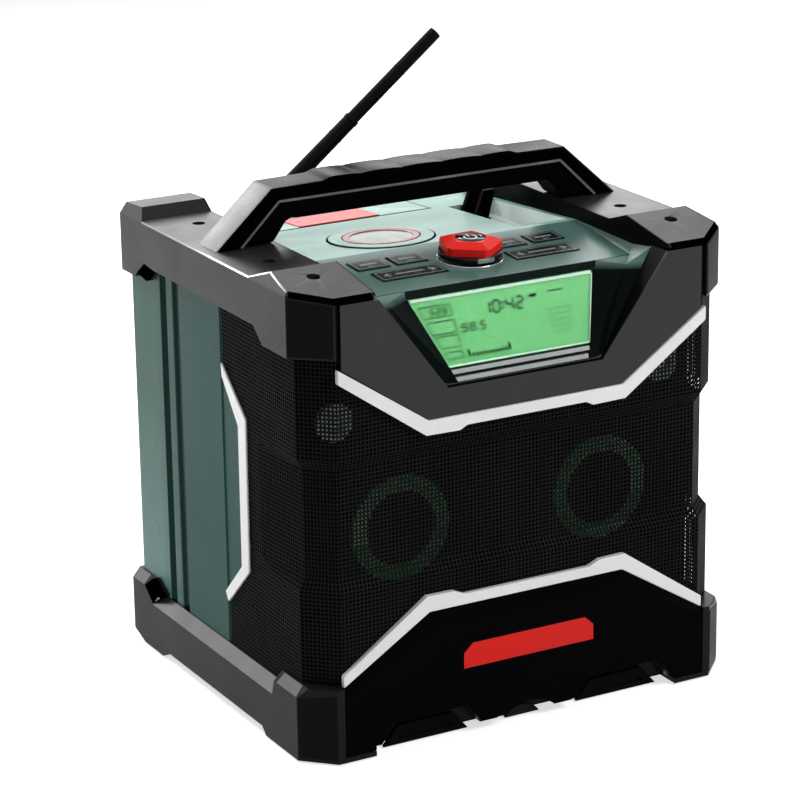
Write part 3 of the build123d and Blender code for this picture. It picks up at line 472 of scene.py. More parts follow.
class Finish(Enum):
    """The finishes of the radio; each value builds its material once."""

    # painted shade: near black within about 95 mm of the middle plane, on the rails' inner walls
    DARK_SHELL = MouldedPlastic(
        "dark_shell", (0.011, 0.011, 0.0125), (0.018, 0.018, 0.020), 0.31, specular=0.11,
        painted_shade_axis="X", painted_shade_band=(0.0953, 0.0945))
    BASE_SHELL = MouldedPlastic(
        "base_shell", (0.008, 0.008, 0.0095), (0.013, 0.013, 0.015), 0.30, specular=0.06)
    # painted shade: near black behind the front face, on the walls of its openings
    FASCIA = MouldedPlastic(
        "fascia_plastic", (0.034, 0.034, 0.038), (0.041, 0.041, 0.045), 0.40, specular=0.14,
        painted_shade_axis="Y", painted_shade_band=(0.1143, 0.1137))
    BLACK_PANEL = MouldedPlastic(
        "black_panel", (0.001, 0.001, 0.0012), (0.0016, 0.0016, 0.002), 0.45, specular=0.01)
    # painted shade: near-black plates on the corner chamfers of frame and base
    CORNER = MouldedPlastic(
        "corner_painted_shade", (0.009, 0.009, 0.0096), (0.013, 0.013, 0.0138), 0.34, specular=0.012)
    GREEN_SHELL = MouldedPlastic(
        "green_shell", (0.045, 0.105, 0.09), (0.065, 0.135, 0.118), 0.34, specular=0.2)
    # deep field, paler rear column as painted light, and grooves darkened as painted shade
    SIDE_GREEN = PanelPlastic(
        "side_green", (0.021, 0.085, 0.072), (0.072, 0.150, 0.127), (0.18, 0.30, 0.275),
        (0.006, 0.032, 0.026))
    # deep green strip, pale rear as painted light, near black brink as painted shade
    DECK_GREEN = DeckPlastic("deck_green", (0.075, 0.150, 0.130), (0.30, 0.52, 0.46))
    # pale as painted light on the lid's top; darker green on its rear face as painted shade
    LID_GREEN = MouldedPlastic(
        "lid_green", (0.30, 0.50, 0.44), (0.34, 0.54, 0.48), 0.24, specular=0.08,
        painted_shade_axis="Y", painted_shade_band=(0.1118, 0.1132), painted_shade_colour=(0.055, 0.125, 0.106))
    # near black down in the funnel as painted shade, green on the folds
    FUNNEL = FunnelPlastic("funnel_green", (0.001, 0.004, 0.0035), (0.10, 0.19, 0.165))
    # painted highlight on the steps of the lip under the display
    LIP = GlossPlastic("lip_highlight", (0.085, 0.115, 0.105), 0.2, 0.1, 0.2)
    WHITE_TRIM = GlossPlastic("white_trim", (0.94, 0.945, 0.945), 0.14)
    PALE_DISC = GlossPlastic("pale_disc", (0.50, 0.57, 0.52), 0.12, 0.3, 0.2)
    # painted light: pale lining that brightens the shaded well
    WELL_PALE = GlossPlastic("well_painted_light", (0.80, 0.90, 0.87), 0.3, 0.0, 0.1)
    RED = GlossPlastic("red_plastic", (0.86, 0.016, 0.011), 0.3, 0.0, 0.12)
    RED_RING = GlossPlastic("red_ring", (0.55, 0.10, 0.11), 0.15, 0.3, 0.2)
    SOFT_RED = MouldedPlastic("soft_red", (0.72, 0.075, 0.07), (0.78, 0.10, 0.09), 0.30, specular=0.12)
    GRILLE = MouldedPlastic(
        "grille_paint", (0.009, 0.009, 0.010), (0.016, 0.016, 0.0175), 0.45, 2600.0, specular=0.01)
    HANDLE = MouldedPlastic(
        "handle_black", (0.001, 0.001, 0.0011), (0.0016, 0.0016, 0.0018), 0.4, specular=0.01)
    GRIP = SleeveRubber("grip_rubber", (0.0012, 0.0012, 0.0013))
    # painted highlight along the sleeve's lower front edge
    PIPING = SoftRubber("grip_edge_highlight", (0.15, 0.15, 0.155), 0.4, 0.2)
    RUBBER = SoftRubber("soft_rubber", (0.002, 0.002, 0.0024), 0.42, 0.04)
    FEET = SoftRubber("foot_rubber", (0.008, 0.008, 0.008), 0.6, 0.2)
    INNER = SoftRubber("inner_black", (0.0006, 0.0006, 0.0006), 0.8, 0.0)
    WOOFER_GREEN = GlossPlastic("woofer_green", (0.05, 0.40, 0.10), 0.3)
    TWEETER_GREY = GlossPlastic("tweeter_grey", (0.60, 0.74, 0.68), 0.25)
    KEY = GlossPlastic("key_black", (0.002, 0.004, 0.004), 0.20, 0.0, 0.12)
    MARK = GlossPlastic("mark_grey", (0.20, 0.24, 0.23), 0.3, 0.0, 0.2)
    MARK_WHITE = GlossPlastic("mark_white", (0.85, 0.87, 0.87), 0.3, 0.0, 0.2)
    BLACK_GLOSS = GlossPlastic("black_gloss", (0.0015, 0.0015, 0.0015), 0.12, 0.0, 0.2)
    CHROME = Metal("chrome", (0.85, 0.86, 0.87), 0.06)
    ZINC = Metal("zinc", (0.55, 0.56, 0.57), 0.3)
    BLACK_STEEL = Metal("black_steel", (0.02, 0.02, 0.024), 0.35)
    SCREEN = LitScreen("lit_screen", (0.036, 0.26, 0.062), (0.056, 0.32, 0.086), 0.44)
    SEGMENT = SoftRubber("lcd_segment", (0.0012, 0.010, 0.004), 0.5, 0.05)
    FAINT = SoftRubber("lcd_faint", (0.006, 0.07, 0.018), 0.5, 0.05)
    # painted highlight along the display pane's edges
    RIM = GlossPlastic("pane_rim_highlight", (0.58, 0.86, 0.70), 0.2, 0.0, 0.2)
    # painted light: paler grey on the tops of the base's ledges
    LEDGE = MouldedPlastic("ledge_painted_light", (0.030, 0.030, 0.031), (0.050, 0.050, 0.051), 0.32)
    # painted highlight along the outer top edges of rails and blocks
    EDGE_SHINE = GlossPlastic("edge_highlight", (0.30, 0.30, 0.31))
    PANE = ClearPane("clear_pane")
    BOARD = CircuitBoard("circuit_board")

    @property
    def material(self) -> bpy.types.Material:
        """The material, built at its first use."""
        return bpy.data.materials.get(FINISH_PREFIX + self.value.name) or self.value.make()


# Pieces


class Piece:
    """A new mesh piece, modelled in millimetres and placed in metres."""

    def __init__(self, name: str) -> None:
        """Start an empty mesh.

        Args:
            name: Name of the piece.
        """
        self.name = name
        self.mesh = bmesh.new()

    def block(self, x: Point2, y: Point2, z: Point2) -> None:
        """Add a box between pairs of limits."""
        middle = Matrix.Translation([(low + high) / 2 for low, high in (x, y, z)])
        size = Matrix.Diagonal([high - low for low, high in (x, y, z)] + [1.0])
        bmesh.ops.create_cube(self.mesh, size=1.0, matrix=middle @ size)

    def collar(self, place: Matrix, radius: float, top: float, height: float) -> None:
        """Add a closed round taper that stands on a place."""
        matrix = place @ Matrix.Translation((0.0, 0.0, height / 2))
        bmesh.ops.create_cone(
            self.mesh, cap_ends=True, segments=48, radius1=radius, radius2=top, depth=height, matrix=matrix)

    def plate(self, outline: Sequence[Point3], push: Point3) -> None:
        """Add a flat outline pushed into a solid.

        Args:
            outline: Corners of the flat face.
            push: Vector from the face to its far side.
        """
        face = self.mesh.faces.new([self.mesh.verts.new(p) for p in outline])
        pushed = bmesh.ops.extrude_face_region(self.mesh, geom=[face], use_keep_orig=True)
        verts = [v for v in pushed["geom"] if isinstance(v, bmesh.types.BMVert)]
        bmesh.ops.translate(self.mesh, verts=verts, vec=push)
        faces = {f for v in verts for f in v.link_faces} | {face}
        bmesh.ops.recalc_face_normals(self.mesh, faces=list(faces))

    def spun(self, profile: Sequence[Point2], place: Matrix, steps: int = 64) -> None:
        """Add a body turned round the local Z axis of a place.

        Args:
            profile: Radius and height of each corner, from the foot to the top.
            place: Where the body stands.
            steps: Number of faces round the body.
        """
        verts = [self.mesh.verts.new((r, 0.0, z)) for r, z in profile]
        edges = [self.mesh.edges.new(pair) for pair in zip(verts, verts[1:])]
        bmesh.ops.spin(
            self.mesh, geom=verts + edges, cent=(0, 0, 0), axis=(0, 0, 1), dvec=(0, 0, 0),
            angle=2 * math.pi, steps=steps, use_merge=True, use_duplicate=False)
        bmesh.ops.remove_doubles(self.mesh, verts=self.mesh.verts, dist=1e-4)
        bmesh.ops.recalc_face_normals(self.mesh, faces=self.mesh.faces)
        bmesh.ops.transform(self.mesh, matrix=place, verts=self.mesh.verts)

    def chamfered(self, width: float, angle: float = 25.0) -> None:
        """Cut every edge sharper than an angle."""
        bmesh.ops.recalc_face_normals(self.mesh, faces=self.mesh.faces)
        limit = math.radians(angle)
        sharp = [e for e in self.mesh.edges if e.is_manifold and e.calc_face_angle(0.0) > limit]
        bmesh.ops.bevel(
            self.mesh, geom=sharp, offset=width, offset_type="OFFSET", affect="EDGES",
            segments=1, profile=0.5, material=-1, clamp_overlap=True)

    def finish(
        self, body: str, slot: str, finish: Finish, replaces: Sequence[str] = (), smooth: float = 35.0,
    ) -> None:
        """Turn the mesh into an object of the radio.

        Args:
            body: Moving body that carries the piece.
            slot: Material slot of the record; not used.
            finish: Finish of the piece.
            replaces: Construction nodes that the piece stands for.
            smooth: Edges flatter than this angle are shaded smooth.
        """
        bmesh.ops.scale(self.mesh, vec=(MM, MM, MM), verts=self.mesh.verts)
        data = bpy.data.meshes.new(self.name)
        self.mesh.to_mesh(data)
        self.mesh.free()
        data.shade_smooth()
        data.set_sharp_from_angle(angle=math.radians(smooth))
        data.materials.append(finish.material)
        made = bpy.data.objects.new(self.name, data)
        bpy.context.scene.collection.objects.link(made)
        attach(made, body)
        if replaces:
            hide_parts(*replaces)
        LOG.info("%s: %d faces", self.name, len(data.polygons))


@dataclass
class ConstructionFinishes:
    """Dresses the construction nodes: a finish for each, and a soft edge of some width for many."""

    nodes: Dict[str, bpy.types.Object]
    finishes: Dict[Finish, Tuple[str, ...]] = field(default_factory=lambda: {
        Finish.DARK_SHELL: ("top_frame", "antenna_base"),
        Finish.BASE_SHELL: ("base_bumper",),
        Finish.FASCIA: ("front_fascia", "latch_plates"),
        Finish.BLACK_PANEL: ("front_apron", "power_inlet", "battery_pack", "badge_bezel", "antenna_clip"),
        Finish.SIDE_GREEN: ("side_panel_left", "side_panel_right"),
        Finish.GREEN_SHELL: ("rear_cover",),
        Finish.DECK_GREEN: ("control_deck",),
        Finish.LID_GREEN: ("dish_ring", "battery_door"),
        Finish.FUNNEL: ("display_bezel",),
        Finish.WHITE_TRIM: ("upper_trim", "lower_trim", "side_trims"),
        Finish.PALE_DISC: ("dish_disc",),
        Finish.RED: ("badge_plate", "knob_cap"),
        Finish.SOFT_RED: ("door_latch",),
        Finish.GRILLE: ("front_grille", "side_grille_left", "side_grille_right"),
        Finish.HANDLE: ("handle",),
        Finish.GRIP: ("handle_grip",),
        Finish.RUBBER: ("antenna", "inlet_flap", "door_gasket"),
        Finish.FEET: ("rubber_feet",),
        Finish.INNER: ("inner_case", "speaker_baffle", "woofer_cones", "encoder"),
        Finish.WOOFER_GREEN: ("woofer_rings",),
        Finish.TWEETER_GREY: ("tweeters",),
        Finish.KEY: BUTTONS,
        Finish.BLACK_GLOSS: ("knob_skirt",),
        Finish.CHROME: ("knob_seat",),
        Finish.BLACK_STEEL: ("frame_screws",),
        Finish.ZINC: (
            "antenna_pin", "door_pin", "flap_pin", "woofer_baskets", "woofer_magnets",
            "encoder_shaft", "battery_contacts"),
        Finish.SCREEN: ("lcd_module",),
        Finish.PANE: ("display_window",),
        Finish.BOARD: ("main_board", "amplifier_board"),
    })
    edges: Dict[float, Tuple[str, ...]] = field(default_factory=lambda: {
        3.0: ("handle",),
        1.4: ("base_bumper",),
        1.2: ("top_frame", "front_apron"),
        1.0: ("side_panel_left", "side_panel_right", "battery_door"),
        0.8: ("front_fascia", "control_deck", "knob_cap", "display_bezel", "antenna_base"),
        0.7: ("upper_trim", "lower_trim"),
        0.6: ("rear_cover",),
        0.5: ("side_trims", "badge_plate", "door_latch", "latch_plates", "antenna_clip", "knob_skirt",
              "inlet_flap"),
        0.4: ("dish_disc", "power_inlet") + BUTTONS,
        0.35: ("dish_ring",),
        0.3: ("badge_bezel",),
        0.2: ("knob_seat",),
    })

    weld: float = 0.00001
    segments: int = 3
    limit: float = 22.0

    def dress(self) -> None:
        """Give each node its finish and its edge."""
        for finish, names in self.finishes.items():
            for name in names:
                materials = self.nodes[name].data.materials
                materials.clear()
                materials.append(finish.material)
        for width, names in self.edges.items():
            for name in names:
                self.soften(self.nodes[name], width)
        LOG.info("dressed %d construction nodes", len(self.nodes))

    def soften(self, node: bpy.types.Object, width: float) -> None:
        """Round the edges of a node without touching its mesh."""
        weld = node.modifiers.new("weld", "WELD")
        weld.merge_threshold = self.weld
        bevel = node.modifiers.new("edge", "BEVEL")
        bevel.width = width * MM
        bevel.segments = self.segments
        bevel.limit_method = "ANGLE"
        bevel.angle_limit = math.radians(self.limit)
        bevel.use_clamp_overlap = True
        bevel.harden_normals = False
        bevel.miter_outer = "MITER_ARC"


@dataclass
class Studio:
    """Floor, light and camera, in metres, degrees and watts."""

    floor_size: float = 30.0
    floor_glow: float = 0.66
    floor_greys: Point2 = (0.84, 0.87)
    ambient: float = 0.16
    # Name, place, aim, size and power: key from the right front, card behind, kicker behind the
    # handle, box overhead, card low on the left
    lamps: Tuple[Tuple[str, Point3, Point3, Point2, float], ...] = (
        ("key", (1.15, -1.6, 1.75), (0.0, 0.0, 0.15), (0.9, 0.7), 32.0),
        ("rear_card", (0.55, 1.75, 1.02), (0.0, 0.1, 0.27), (2.0, 0.75), 20.0),
        ("kicker", (-0.45, 1.15, 0.88), (-0.12, 0.0, 0.28), (0.45, 0.35), 7.0),
        ("overhead", (-0.5, 0.3, 1.8), (0.0, 0.0, 0.2), (0.9, 0.8), 10.0),
        ("left_low", (-1.15, 1.45, 0.42), (-0.14, 0.0, 0.05), (0.9, 0.5), 4.5))
    camera_place: Point3 = (-0.8572, -1.5214, 0.7241)
    azimuth: float = -28.903
    elevation: float = 17.863
    roll: float = -0.833
    lens: float = 139.9
    sensor: float = 36.0

    def floor(self) -> None:
        """Plain pale floor that keeps the shadow."""
        mesh = bmesh.new()
        bmesh.ops.create_grid(mesh, x_segments=4, y_segments=4, size=self.floor_size)
        data = bpy.data.meshes.new("floor")
        mesh.to_mesh(data)
        mesh.free()
        floor = bpy.data.objects.new("floor", data)
        bpy.context.scene.collection.objects.link(floor)
        shader = Shader("pale_floor")
        tint = shader.clouds(0.7, 2.0, 0.0, 1.0)
        low, high = ((grey, grey, grey) for grey in self.floor_greys)
        shader.set(
            Base_Color=shader.blend(tint, low, high),
            Roughness=0.9, Specular_IOR_Level=0.0, Emission_Color=WHITE,
            Emission_Strength=shader.math("MULTIPLY", shader.seen(), self.floor_glow))
        data.materials.append(shader.material)

    def world(self) -> None:
        """Soft even light, white where it is seen or mirrored."""
        world = bpy.data.worlds.new("studio")
        bpy.context.scene.world = world
        world.use_nodes = True
        world.node_tree.nodes.clear()
        graph = Graph(world.node_tree)
        mix = graph.node("MixShader", Fac=graph.seen())
        for index, strength in enumerate((self.ambient, 1.0), 1):
            light = graph.node("Background", Color=WHITE, Strength=strength)
            graph.feed(mix.inputs[index], light.outputs[0])
        graph.node("OutputWorld", Surface=mix.outputs[0])

    def light(self) -> None:
        """Hang the rectangular lamps."""
        for name, place, aim, size, power in self.lamps:
            lamp = bpy.data.lights.new(name, "AREA")
            lamp.shape = "RECTANGLE"
            lamp.size, lamp.size_y = size
            lamp.energy = power
            made = bpy.data.objects.new(name, lamp)
            bpy.context.scene.collection.objects.link(made)
            made.location = place
            made.rotation_euler = (Vector(aim) - Vector(place)).to_track_quat("-Z", "Y").to_euler()

    def camera(self) -> None:
        """Camera that looks along its azimuth and elevation, with a slight roll."""
        turn, lift, roll = (math.radians(a) for a in (self.azimuth, self.elevation, self.roll))
        back = Vector((math.sin(turn) * math.cos(lift), -math.cos(turn) * math.cos(lift), math.sin(lift)))
        level = Vector((math.cos(turn), math.sin(turn), 0.0))
        upright = back.cross(level)
        right = level * math.cos(roll) + upright * math.sin(roll)
        up = -level * math.sin(roll) + upright * math.cos(roll)
        data = bpy.data.cameras.new("camera")
        data.sensor_width = self.sensor
        data.lens = self.lens
        camera = bpy.data.objects.new("camera", data)
        bpy.context.scene.collection.objects.link(camera)
        basis = Matrix((right, up, back)).transposed().to_4x4()
        camera.matrix_world = Matrix.Translation(self.camera_place) @ basis
        bpy.context.scene.camera = camera

    def set_up(self) -> None:
        """Build the whole studio."""
        self.floor()
        self.world()
        self.light()
        self.camera()
        bpy.context.scene.view_settings.view_transform = "Standard"


@dataclass
class Grille:
    """Perforated sheet that wraps the front and both front corners in three tiers.

    The middle tier is sunk. A plan corner is a distance from the middle plane and a depth, and the
    corners run from the rear edge of a side to its front corner.
    """

    levels: Tuple[float, ...] = (31.0, 100.2, 106.5, 170.0, 176.3, 241.0)
    rows: Tuple[int, ...] = (29, 3, 26, 3, 27)
    side_columns: Tuple[int, ...] = (17, 19, 10)
    front_columns: Tuple[int, ...] = (98,)
    full: Tuple[Point2, ...] = ((135.2, -8.0), (135.2, -50.0), (135.2, -96.0), (118.4, -112.5))
    sunk: Tuple[Point2, ...] = ((135.2, -8.0), (135.2, -50.0), (130.7, -94.1), (116.9, -107.9))
    bridge: float = 0.46
    skin: float = 0.8
    trim_half: float = 65.0
    lower_trim: Point2 = (83.5, -0.626)     # height over the middle, and slope beyond trim_half
    upper_trim: Point2 = (186.5, 0.701)
    rear: float = -6.0
    bracket_z: Point2 = (66.0, 205.0)
    bracket_y: Point2 = (-7.0, -32.0)
    bracket_slope: float = 1.05
    bumper_corner: Point2 = (-78.0, 44.0)
    frame_corner: Point2 = (-92.0, 234.0)

    @staticmethod
    def locate(value: float, counts: Sequence[int]) -> Tuple[int, float]:
        """Find the span that holds a running number.

        Args:
            value: Running column or row.
            counts: Number of cells in each span.

        Returns:
            The span's index, and the share of the way through it.
        """
        start = index = 0
        while value > start + counts[index] and index < len(counts) - 1:
            start += counts[index]
            index += 1
        return index, (value - start) / counts[index]

    def place(
        self, cell: Vector, columns: Sequence[int], full: Sequence[Point2], sunk: Sequence[Point2],
    ) -> Vector:
        """Position of a grid point.

        Args:
            cell: Running column and row of the point.
            columns: Number of columns between the plan corners.
            full: Plan corners where the sheet stands full.
            sunk: Plan corners in the sunk tier.

        Returns:
            The point on the sheet.
        """
        index, share = self.locate(cell.x, columns)
        level, rise = self.locate(cell.y, self.rows)
        z = self.levels[level] + rise * (self.levels[level + 1] - self.levels[level])
        depth = (0.0, rise, 1.0, 1.0 - rise, 0.0)[level]
        outer, inner = (Vector(line[index]).lerp(Vector(line[index + 1]), share) for line in (full, sunk))
        return Vector((*outer.lerp(inner, depth), z))

    def sheet(
        self, names: Tuple[str, str], columns: Sequence[int], full: Sequence[Point2],
        sunk: Sequence[Point2], keep: Callable[[Vector], bool],
    ) -> None:
        """Build one perforated sheet along a plan path.

        Args:
            names: Name of the piece, and of the construction node that it stands for.
            columns: Number of columns between the plan corners.
            full: Plan corners where the sheet stands full.
            sunk: Plan corners in the sunk tier.
            keep: Says whether a cell's middle lies on the sheet.
        """
        piece = Piece(names[0])
        mesh = piece.mesh
        across, high = sum(columns), sum(self.rows)
        unit = Matrix.Diagonal((across / 2, high / 2, 1.0, 1.0))
        shift = Matrix.Translation((across / 2, high / 2, 0.0))
        bmesh.ops.create_grid(mesh, x_segments=across, y_segments=high, size=1.0, matrix=shift @ unit)
        for vert in mesh.verts:
            vert.co = self.place(vert.co, columns, full, sunk)
        spare = [f for f in mesh.faces if not keep(f.calc_center_median())]
        bmesh.ops.delete(mesh, geom=spare, context="FACES")
        cells = list(mesh.faces)
        bmesh.ops.inset_individual(
            mesh, faces=cells, thickness=self.bridge, depth=0.0, use_even_offset=True)
        bmesh.ops.delete(mesh, geom=cells, context="FACES_ONLY")
        bmesh.ops.recalc_face_normals(mesh, faces=mesh.faces)
        bmesh.ops.solidify(mesh, geom=mesh.faces[:], thickness=self.skin)
        piece.finish("cabinet", "grille_sheet", Finish.GRILLE, (names[1],), 30.0)

    def on_front(self, point: Vector) -> bool:
        """Whether a point lies between the lower and the upper trim."""
        outside = max(0.0, abs(point.x) - self.trim_half)
        low, high = (height + slope * outside for height, slope in (self.lower_trim, self.upper_trim))
        return low < point.z < high

    def on_side(self, point: Vector) -> bool:
        """Whether a point lies before the bracket-shaped trim and clear of bumper and frame."""
        bumper_y, bumper_z = self.bumper_corner
        frame_y, frame_z = self.frame_corner
        if point.y < bumper_y and point.z < bumper_z or point.y < frame_y and point.z > frame_z:
            return False
        low, high = self.bracket_z
        if not low < point.z < high:
            return point.y < self.rear
        inside = min(point.z - low, high - point.z)
        start, end = self.bracket_y
        return point.y < max(end, start - self.bracket_slope * inside)

    def build(self) -> None:
        """Build the front sheet and both side sheets."""
        lines = (self.full, self.sunk)
        full, sunk = ([(side * line[-1][0], line[-1][1]) for side in SIDES] for line in lines)
        self.sheet(("grille_front", "front_grille"), self.front_columns, full, sunk, self.on_front)
        for side, word in zip(SIDES, SIDE_NAMES):
            full, sunk = ([(side * x, y) for x, y in line] for line in lines)
            names = (f"grille_{word}", f"side_grille_{word}")
            self.sheet(names, self.side_columns, full, sunk, self.on_side)


@dataclass
class Tilted:
    """Flat working plane: points given across and up the plane, in millimetres."""

    origin: Point3
    up: Point3
    out: Point3

    @property
    def matrix(self) -> Matrix:
        """Local X across, Y up the plane, Z out of it."""
        up, out = Vector(self.up).normalized(), Vector(self.out).normalized()
        basis = Matrix((up.cross(out), up, out)).transposed().to_4x4()
        return Matrix.Translation(self.origin) @ basis

    def stroke(self, piece: Piece, start: Point2, end: Point2, width: float, depth: Point2) -> None:
        """Add a straight stroke between two points of the plane.

        Args:
            piece: Piece that receives the stroke.
            start: First point.
            end: Last point.
            width: Width of the stroke.
            depth: Lowest and highest level over the plane.
        """
        line = Vector(end) - Vector(start)
        middle = (Vector(end) + Vector(start)) / 2
        turn = Matrix.Rotation(math.atan2(line.y, line.x), 4, "Z")
        size = Matrix.Diagonal((line.length, width, depth[1] - depth[0], 1.0))
        shift = Matrix.Translation((middle.x, middle.y, (depth[0] + depth[1]) / 2))
        bmesh.ops.create_cube(piece.mesh, size=1.0, matrix=self.matrix @ shift @ turn @ size)

    def frame(self, piece: Piece, corners: Sequence[Point2], width: float, depth: Point2) -> None:
        """Add a closed outline of strokes."""
        for start, end in zip(corners, [*corners[1:], corners[0]]):
            self.stroke(piece, start, end, width, depth)


def deck_plane(x: float, y: float) -> Tilted:
    """Plane of the control deck's top surface at a point."""
    slope = -DECK_FALL if y > DECK_JOINT[0] else STRIP_SLOPE
    return Tilted((x, y, deck_height(y)), (0.0, 1.0, slope), (0.0, -slope, 1.0))


@dataclass
class DisplayScreen:
    """Segments and outlines of the back-lit display printed on its pane, and a painted highlight on its rim.
    """

    foot: Point3 = (0.0, -108.0, 216.9)
    lean: float = 0.578
    sunk: Point2 = (0.02, 0.08)
    slant: float = 0.14
    # Text, lower left corner, size of a figure, pitch and width of a stroke
    texts: Tuple[Tuple[str, Point2, Point2, float, float], ...] = (
        ("10:42", (-15.8, 26.4), (4.3, 6.8), 6.6, 1.05),
        ("98.5", (-31.8, 18.6), (3.2, 4.4), 5.3, 0.8),
        ("528", (-48.5, 30.4), (2.4, 3.6), 4.0, 0.7))
    # Top, foot, and left end of the top and of the foot of each frame at the left edge
    frames: Tuple[Tuple[float, float, float, float], ...] = (
        (35.6, 29.0, -55.0, -53.2), (26.4, 19.4, -52.2, -50.6), (17.8, 11.2, -49.2, -47.6),
        (8.4, 4.6, -46.2, -45.2))
    frames_right: float = -34.9
    frame_line: float = 0.55
    scale_marks: int = 11
    scale_left: float = -31.0
    scale_pitch: float = 2.6
    scale_y: Point3 = (4.2, 6.2, 8.6)       # foot, top, and top of both end marks
    scale_line: float = 1.3
    dash: Stroke = ((15.6, 32.5), (20.2, 32.5), 1.7)
    rows: int = 5
    rows_top: float = 23.0
    rows_pitch: float = 3.2
    rows_x: Point2 = (24.0, 41.0)
    rows_line: float = 0.4
    bar: Stroke = ((28.0, 33.4), (38.0, 33.4), 0.8)
    # painted highlight along the top, the foot and the right edge of the pane
    rim: Tuple[Stroke, ...] = (
        ((-58.6, 40.1), (58.6, 40.1), 1.7), ((-45.6, 0.7), (45.8, 0.7), 0.7),
        ((46.0, 1.0), (59.0, 39.4), 0.7))
    ends: Dict[str, Tuple[Point2, Point2]] = field(default_factory=lambda: {
        "a": ((0.1, 1.0), (0.9, 1.0)), "b": ((1.0, 0.92), (1.0, 0.56)), "c": ((1.0, 0.44), (1.0, 0.08)),
        "d": ((0.1, 0.0), (0.9, 0.0)), "e": ((0.0, 0.44), (0.0, 0.08)), "f": ((0.0, 0.92), (0.0, 0.56)),
        "g": ((0.1, 0.5), (0.9, 0.5)),
    })
    segments: Dict[str, str] = field(default_factory=lambda: {
        "0": "abcdef", "1": "bc", "2": "abged", "4": "fgbc", "5": "afgcd", "8": "abcdefg", "9": "abcdfg",
    })

    @property
    def plane(self) -> Tilted:
        """Plane of the pane's outer face."""
        return Tilted(self.foot, (0.0, self.lean, 1.0), (0.0, -1.0, self.lean))

    def write(
        self, piece: Piece, text: str, corner: Point2, size: Point2, pitch: float, width: float,
    ) -> None:
        """Add a row of slanted seven-segment figures; a colon or a stop takes a narrow place.

        Args:
            piece: Piece that receives the figures.
            text: The figures.
            corner: Lower left corner of the first one.
            size: Width and height of a figure.
            pitch: Step from one figure to the next.
            width: Width of a stroke.
        """
        x, y = corner
        wide, high = size
        for figure in text:
            if figure in ":.":
                for v in ((0.3, 0.7) if figure == ":" else (0.0,)):
                    start = (x - 0.1 * pitch + self.slant * v * high, y + v * high)
                    self.plane.stroke(piece, start, (start[0] + width, start[1]), width, self.sunk)
                x += 0.3 * pitch
                continue
            for name in self.segments[figure]:
                ends = self.ends[name]
                start, end = ((x + u * wide + self.slant * v * high, y + v * high) for u, v in ends)
                self.plane.stroke(piece, start, end, width, self.sunk)
            x += pitch

    def figures(self) -> None:
        """Build the dark figures, the tuning scale and the dash."""
        piece = Piece("display_figures")
        for text in self.texts:
            self.write(piece, *text)
        foot, top, end_top = self.scale_y
        for n in range(self.scale_marks):
            x = self.scale_left + self.scale_pitch * n
            high = end_top if n in (0, self.scale_marks - 1) else top
            self.plane.stroke(piece, (x, foot), (x, high), self.scale_line, self.sunk)
        self.plane.stroke(piece, *self.dash, self.sunk)
        piece.finish("cabinet", "inner_black", Finish.SEGMENT)

    def outlines(self) -> None:
        """Build the faint frames on the left, and the faint rows and bar on the right."""
        piece = Piece("display_outlines")
        for top, low, left_top, left_low in self.frames:
            corners = [(left_top, top), (self.frames_right, top), (self.frames_right, low), (left_low, low)]
            self.plane.frame(piece, corners, self.frame_line, self.sunk)
        left, right = self.rows_x
        for row in range(self.rows):
            y = self.rows_top - self.rows_pitch * row
            self.plane.stroke(piece, (left, y), (right - row, y), self.rows_line, self.sunk)
        self.plane.stroke(piece, *self.bar, self.sunk)
        piece.finish("cabinet", "inner_black", Finish.FAINT)

    def build(self) -> None:
        """Build the figures, the outlines and the painted highlight along the rim of the pane."""
        self.figures()
        self.outlines()
        piece = Piece("display_rim_highlight")
        for start, end, width in self.rim:
            self.plane.stroke(piece, start, end, width, self.sunk)
        piece.finish("cabinet", "clear_window", Finish.RIM)


@dataclass
class KeyMarks:
    """Pale outlines and plain symbols on the six keys, three on each side of the knob."""

    lift: Point2 = (0.6, 0.66)
    line: float = 0.5
    inset: float = 1.6
    depth: float = 15.0
    short_y: float = -38.5
    short_keys: Tuple[Point2, ...] = ((32.7, 20.4), (57.4, 21.0))   # place and width
    long_key: Point2 = (43.2, 42.0)
    long_y: float = -60.5

    def mark(
        self, number: int, place: Point2, width: float, strokes: Sequence[Stroke],
    ) -> None:
        """Build the marks of one key: a frame just inside its edge, and strokes.

        Args:
            number: Number of the key.
            place: Middle of the key, across and in depth.
            width: Width of the key.
            strokes: Strokes inside the frame.
        """
        piece, plane = Piece(f"key_marks_{number}"), deck_plane(*place)
        x, y = width / 2 - self.inset, self.depth / 2 - self.inset
        plane.frame(piece, [(-x, -y), (x, -y), (x, y), (-x, y)], self.line, self.lift)
        for start, end, thick in strokes:
            plane.stroke(piece, start, end, thick, self.lift)
        piece.finish(f"key_{number}", "white_gloss", Finish.MARK)

    def build(self) -> None:
        """Mark the short keys with two dashes, and the long ones with a dash and two arrows."""
        arrows = [((-9.0, 0.2), (9.0, 0.2), 1.6)]
        for end in SIDES:
            arrows += [((end * 13.0, y), (end * 16.0, 0.0), 1.2) for y in (2.4, -2.4)]
            arrows.append(((end * 12.0, 0.0), (end * 15.4, 0.0), 0.9))
        for index, side in enumerate(SIDES):
            for number, (x, width) in enumerate(self.short_keys, 3 * index + 1):
                dashes = [((-share * width, y), (share * width, y), thick)
                          for share, y, thick in ((0.26, 0.3, 2.0), (0.1, -3.4, 0.8))]
                self.mark(number, (side * x, self.short_y), width, dashes)
            x, width = self.long_key
            self.mark(3 * index + 3, (side * x, self.long_y), width, arrows)


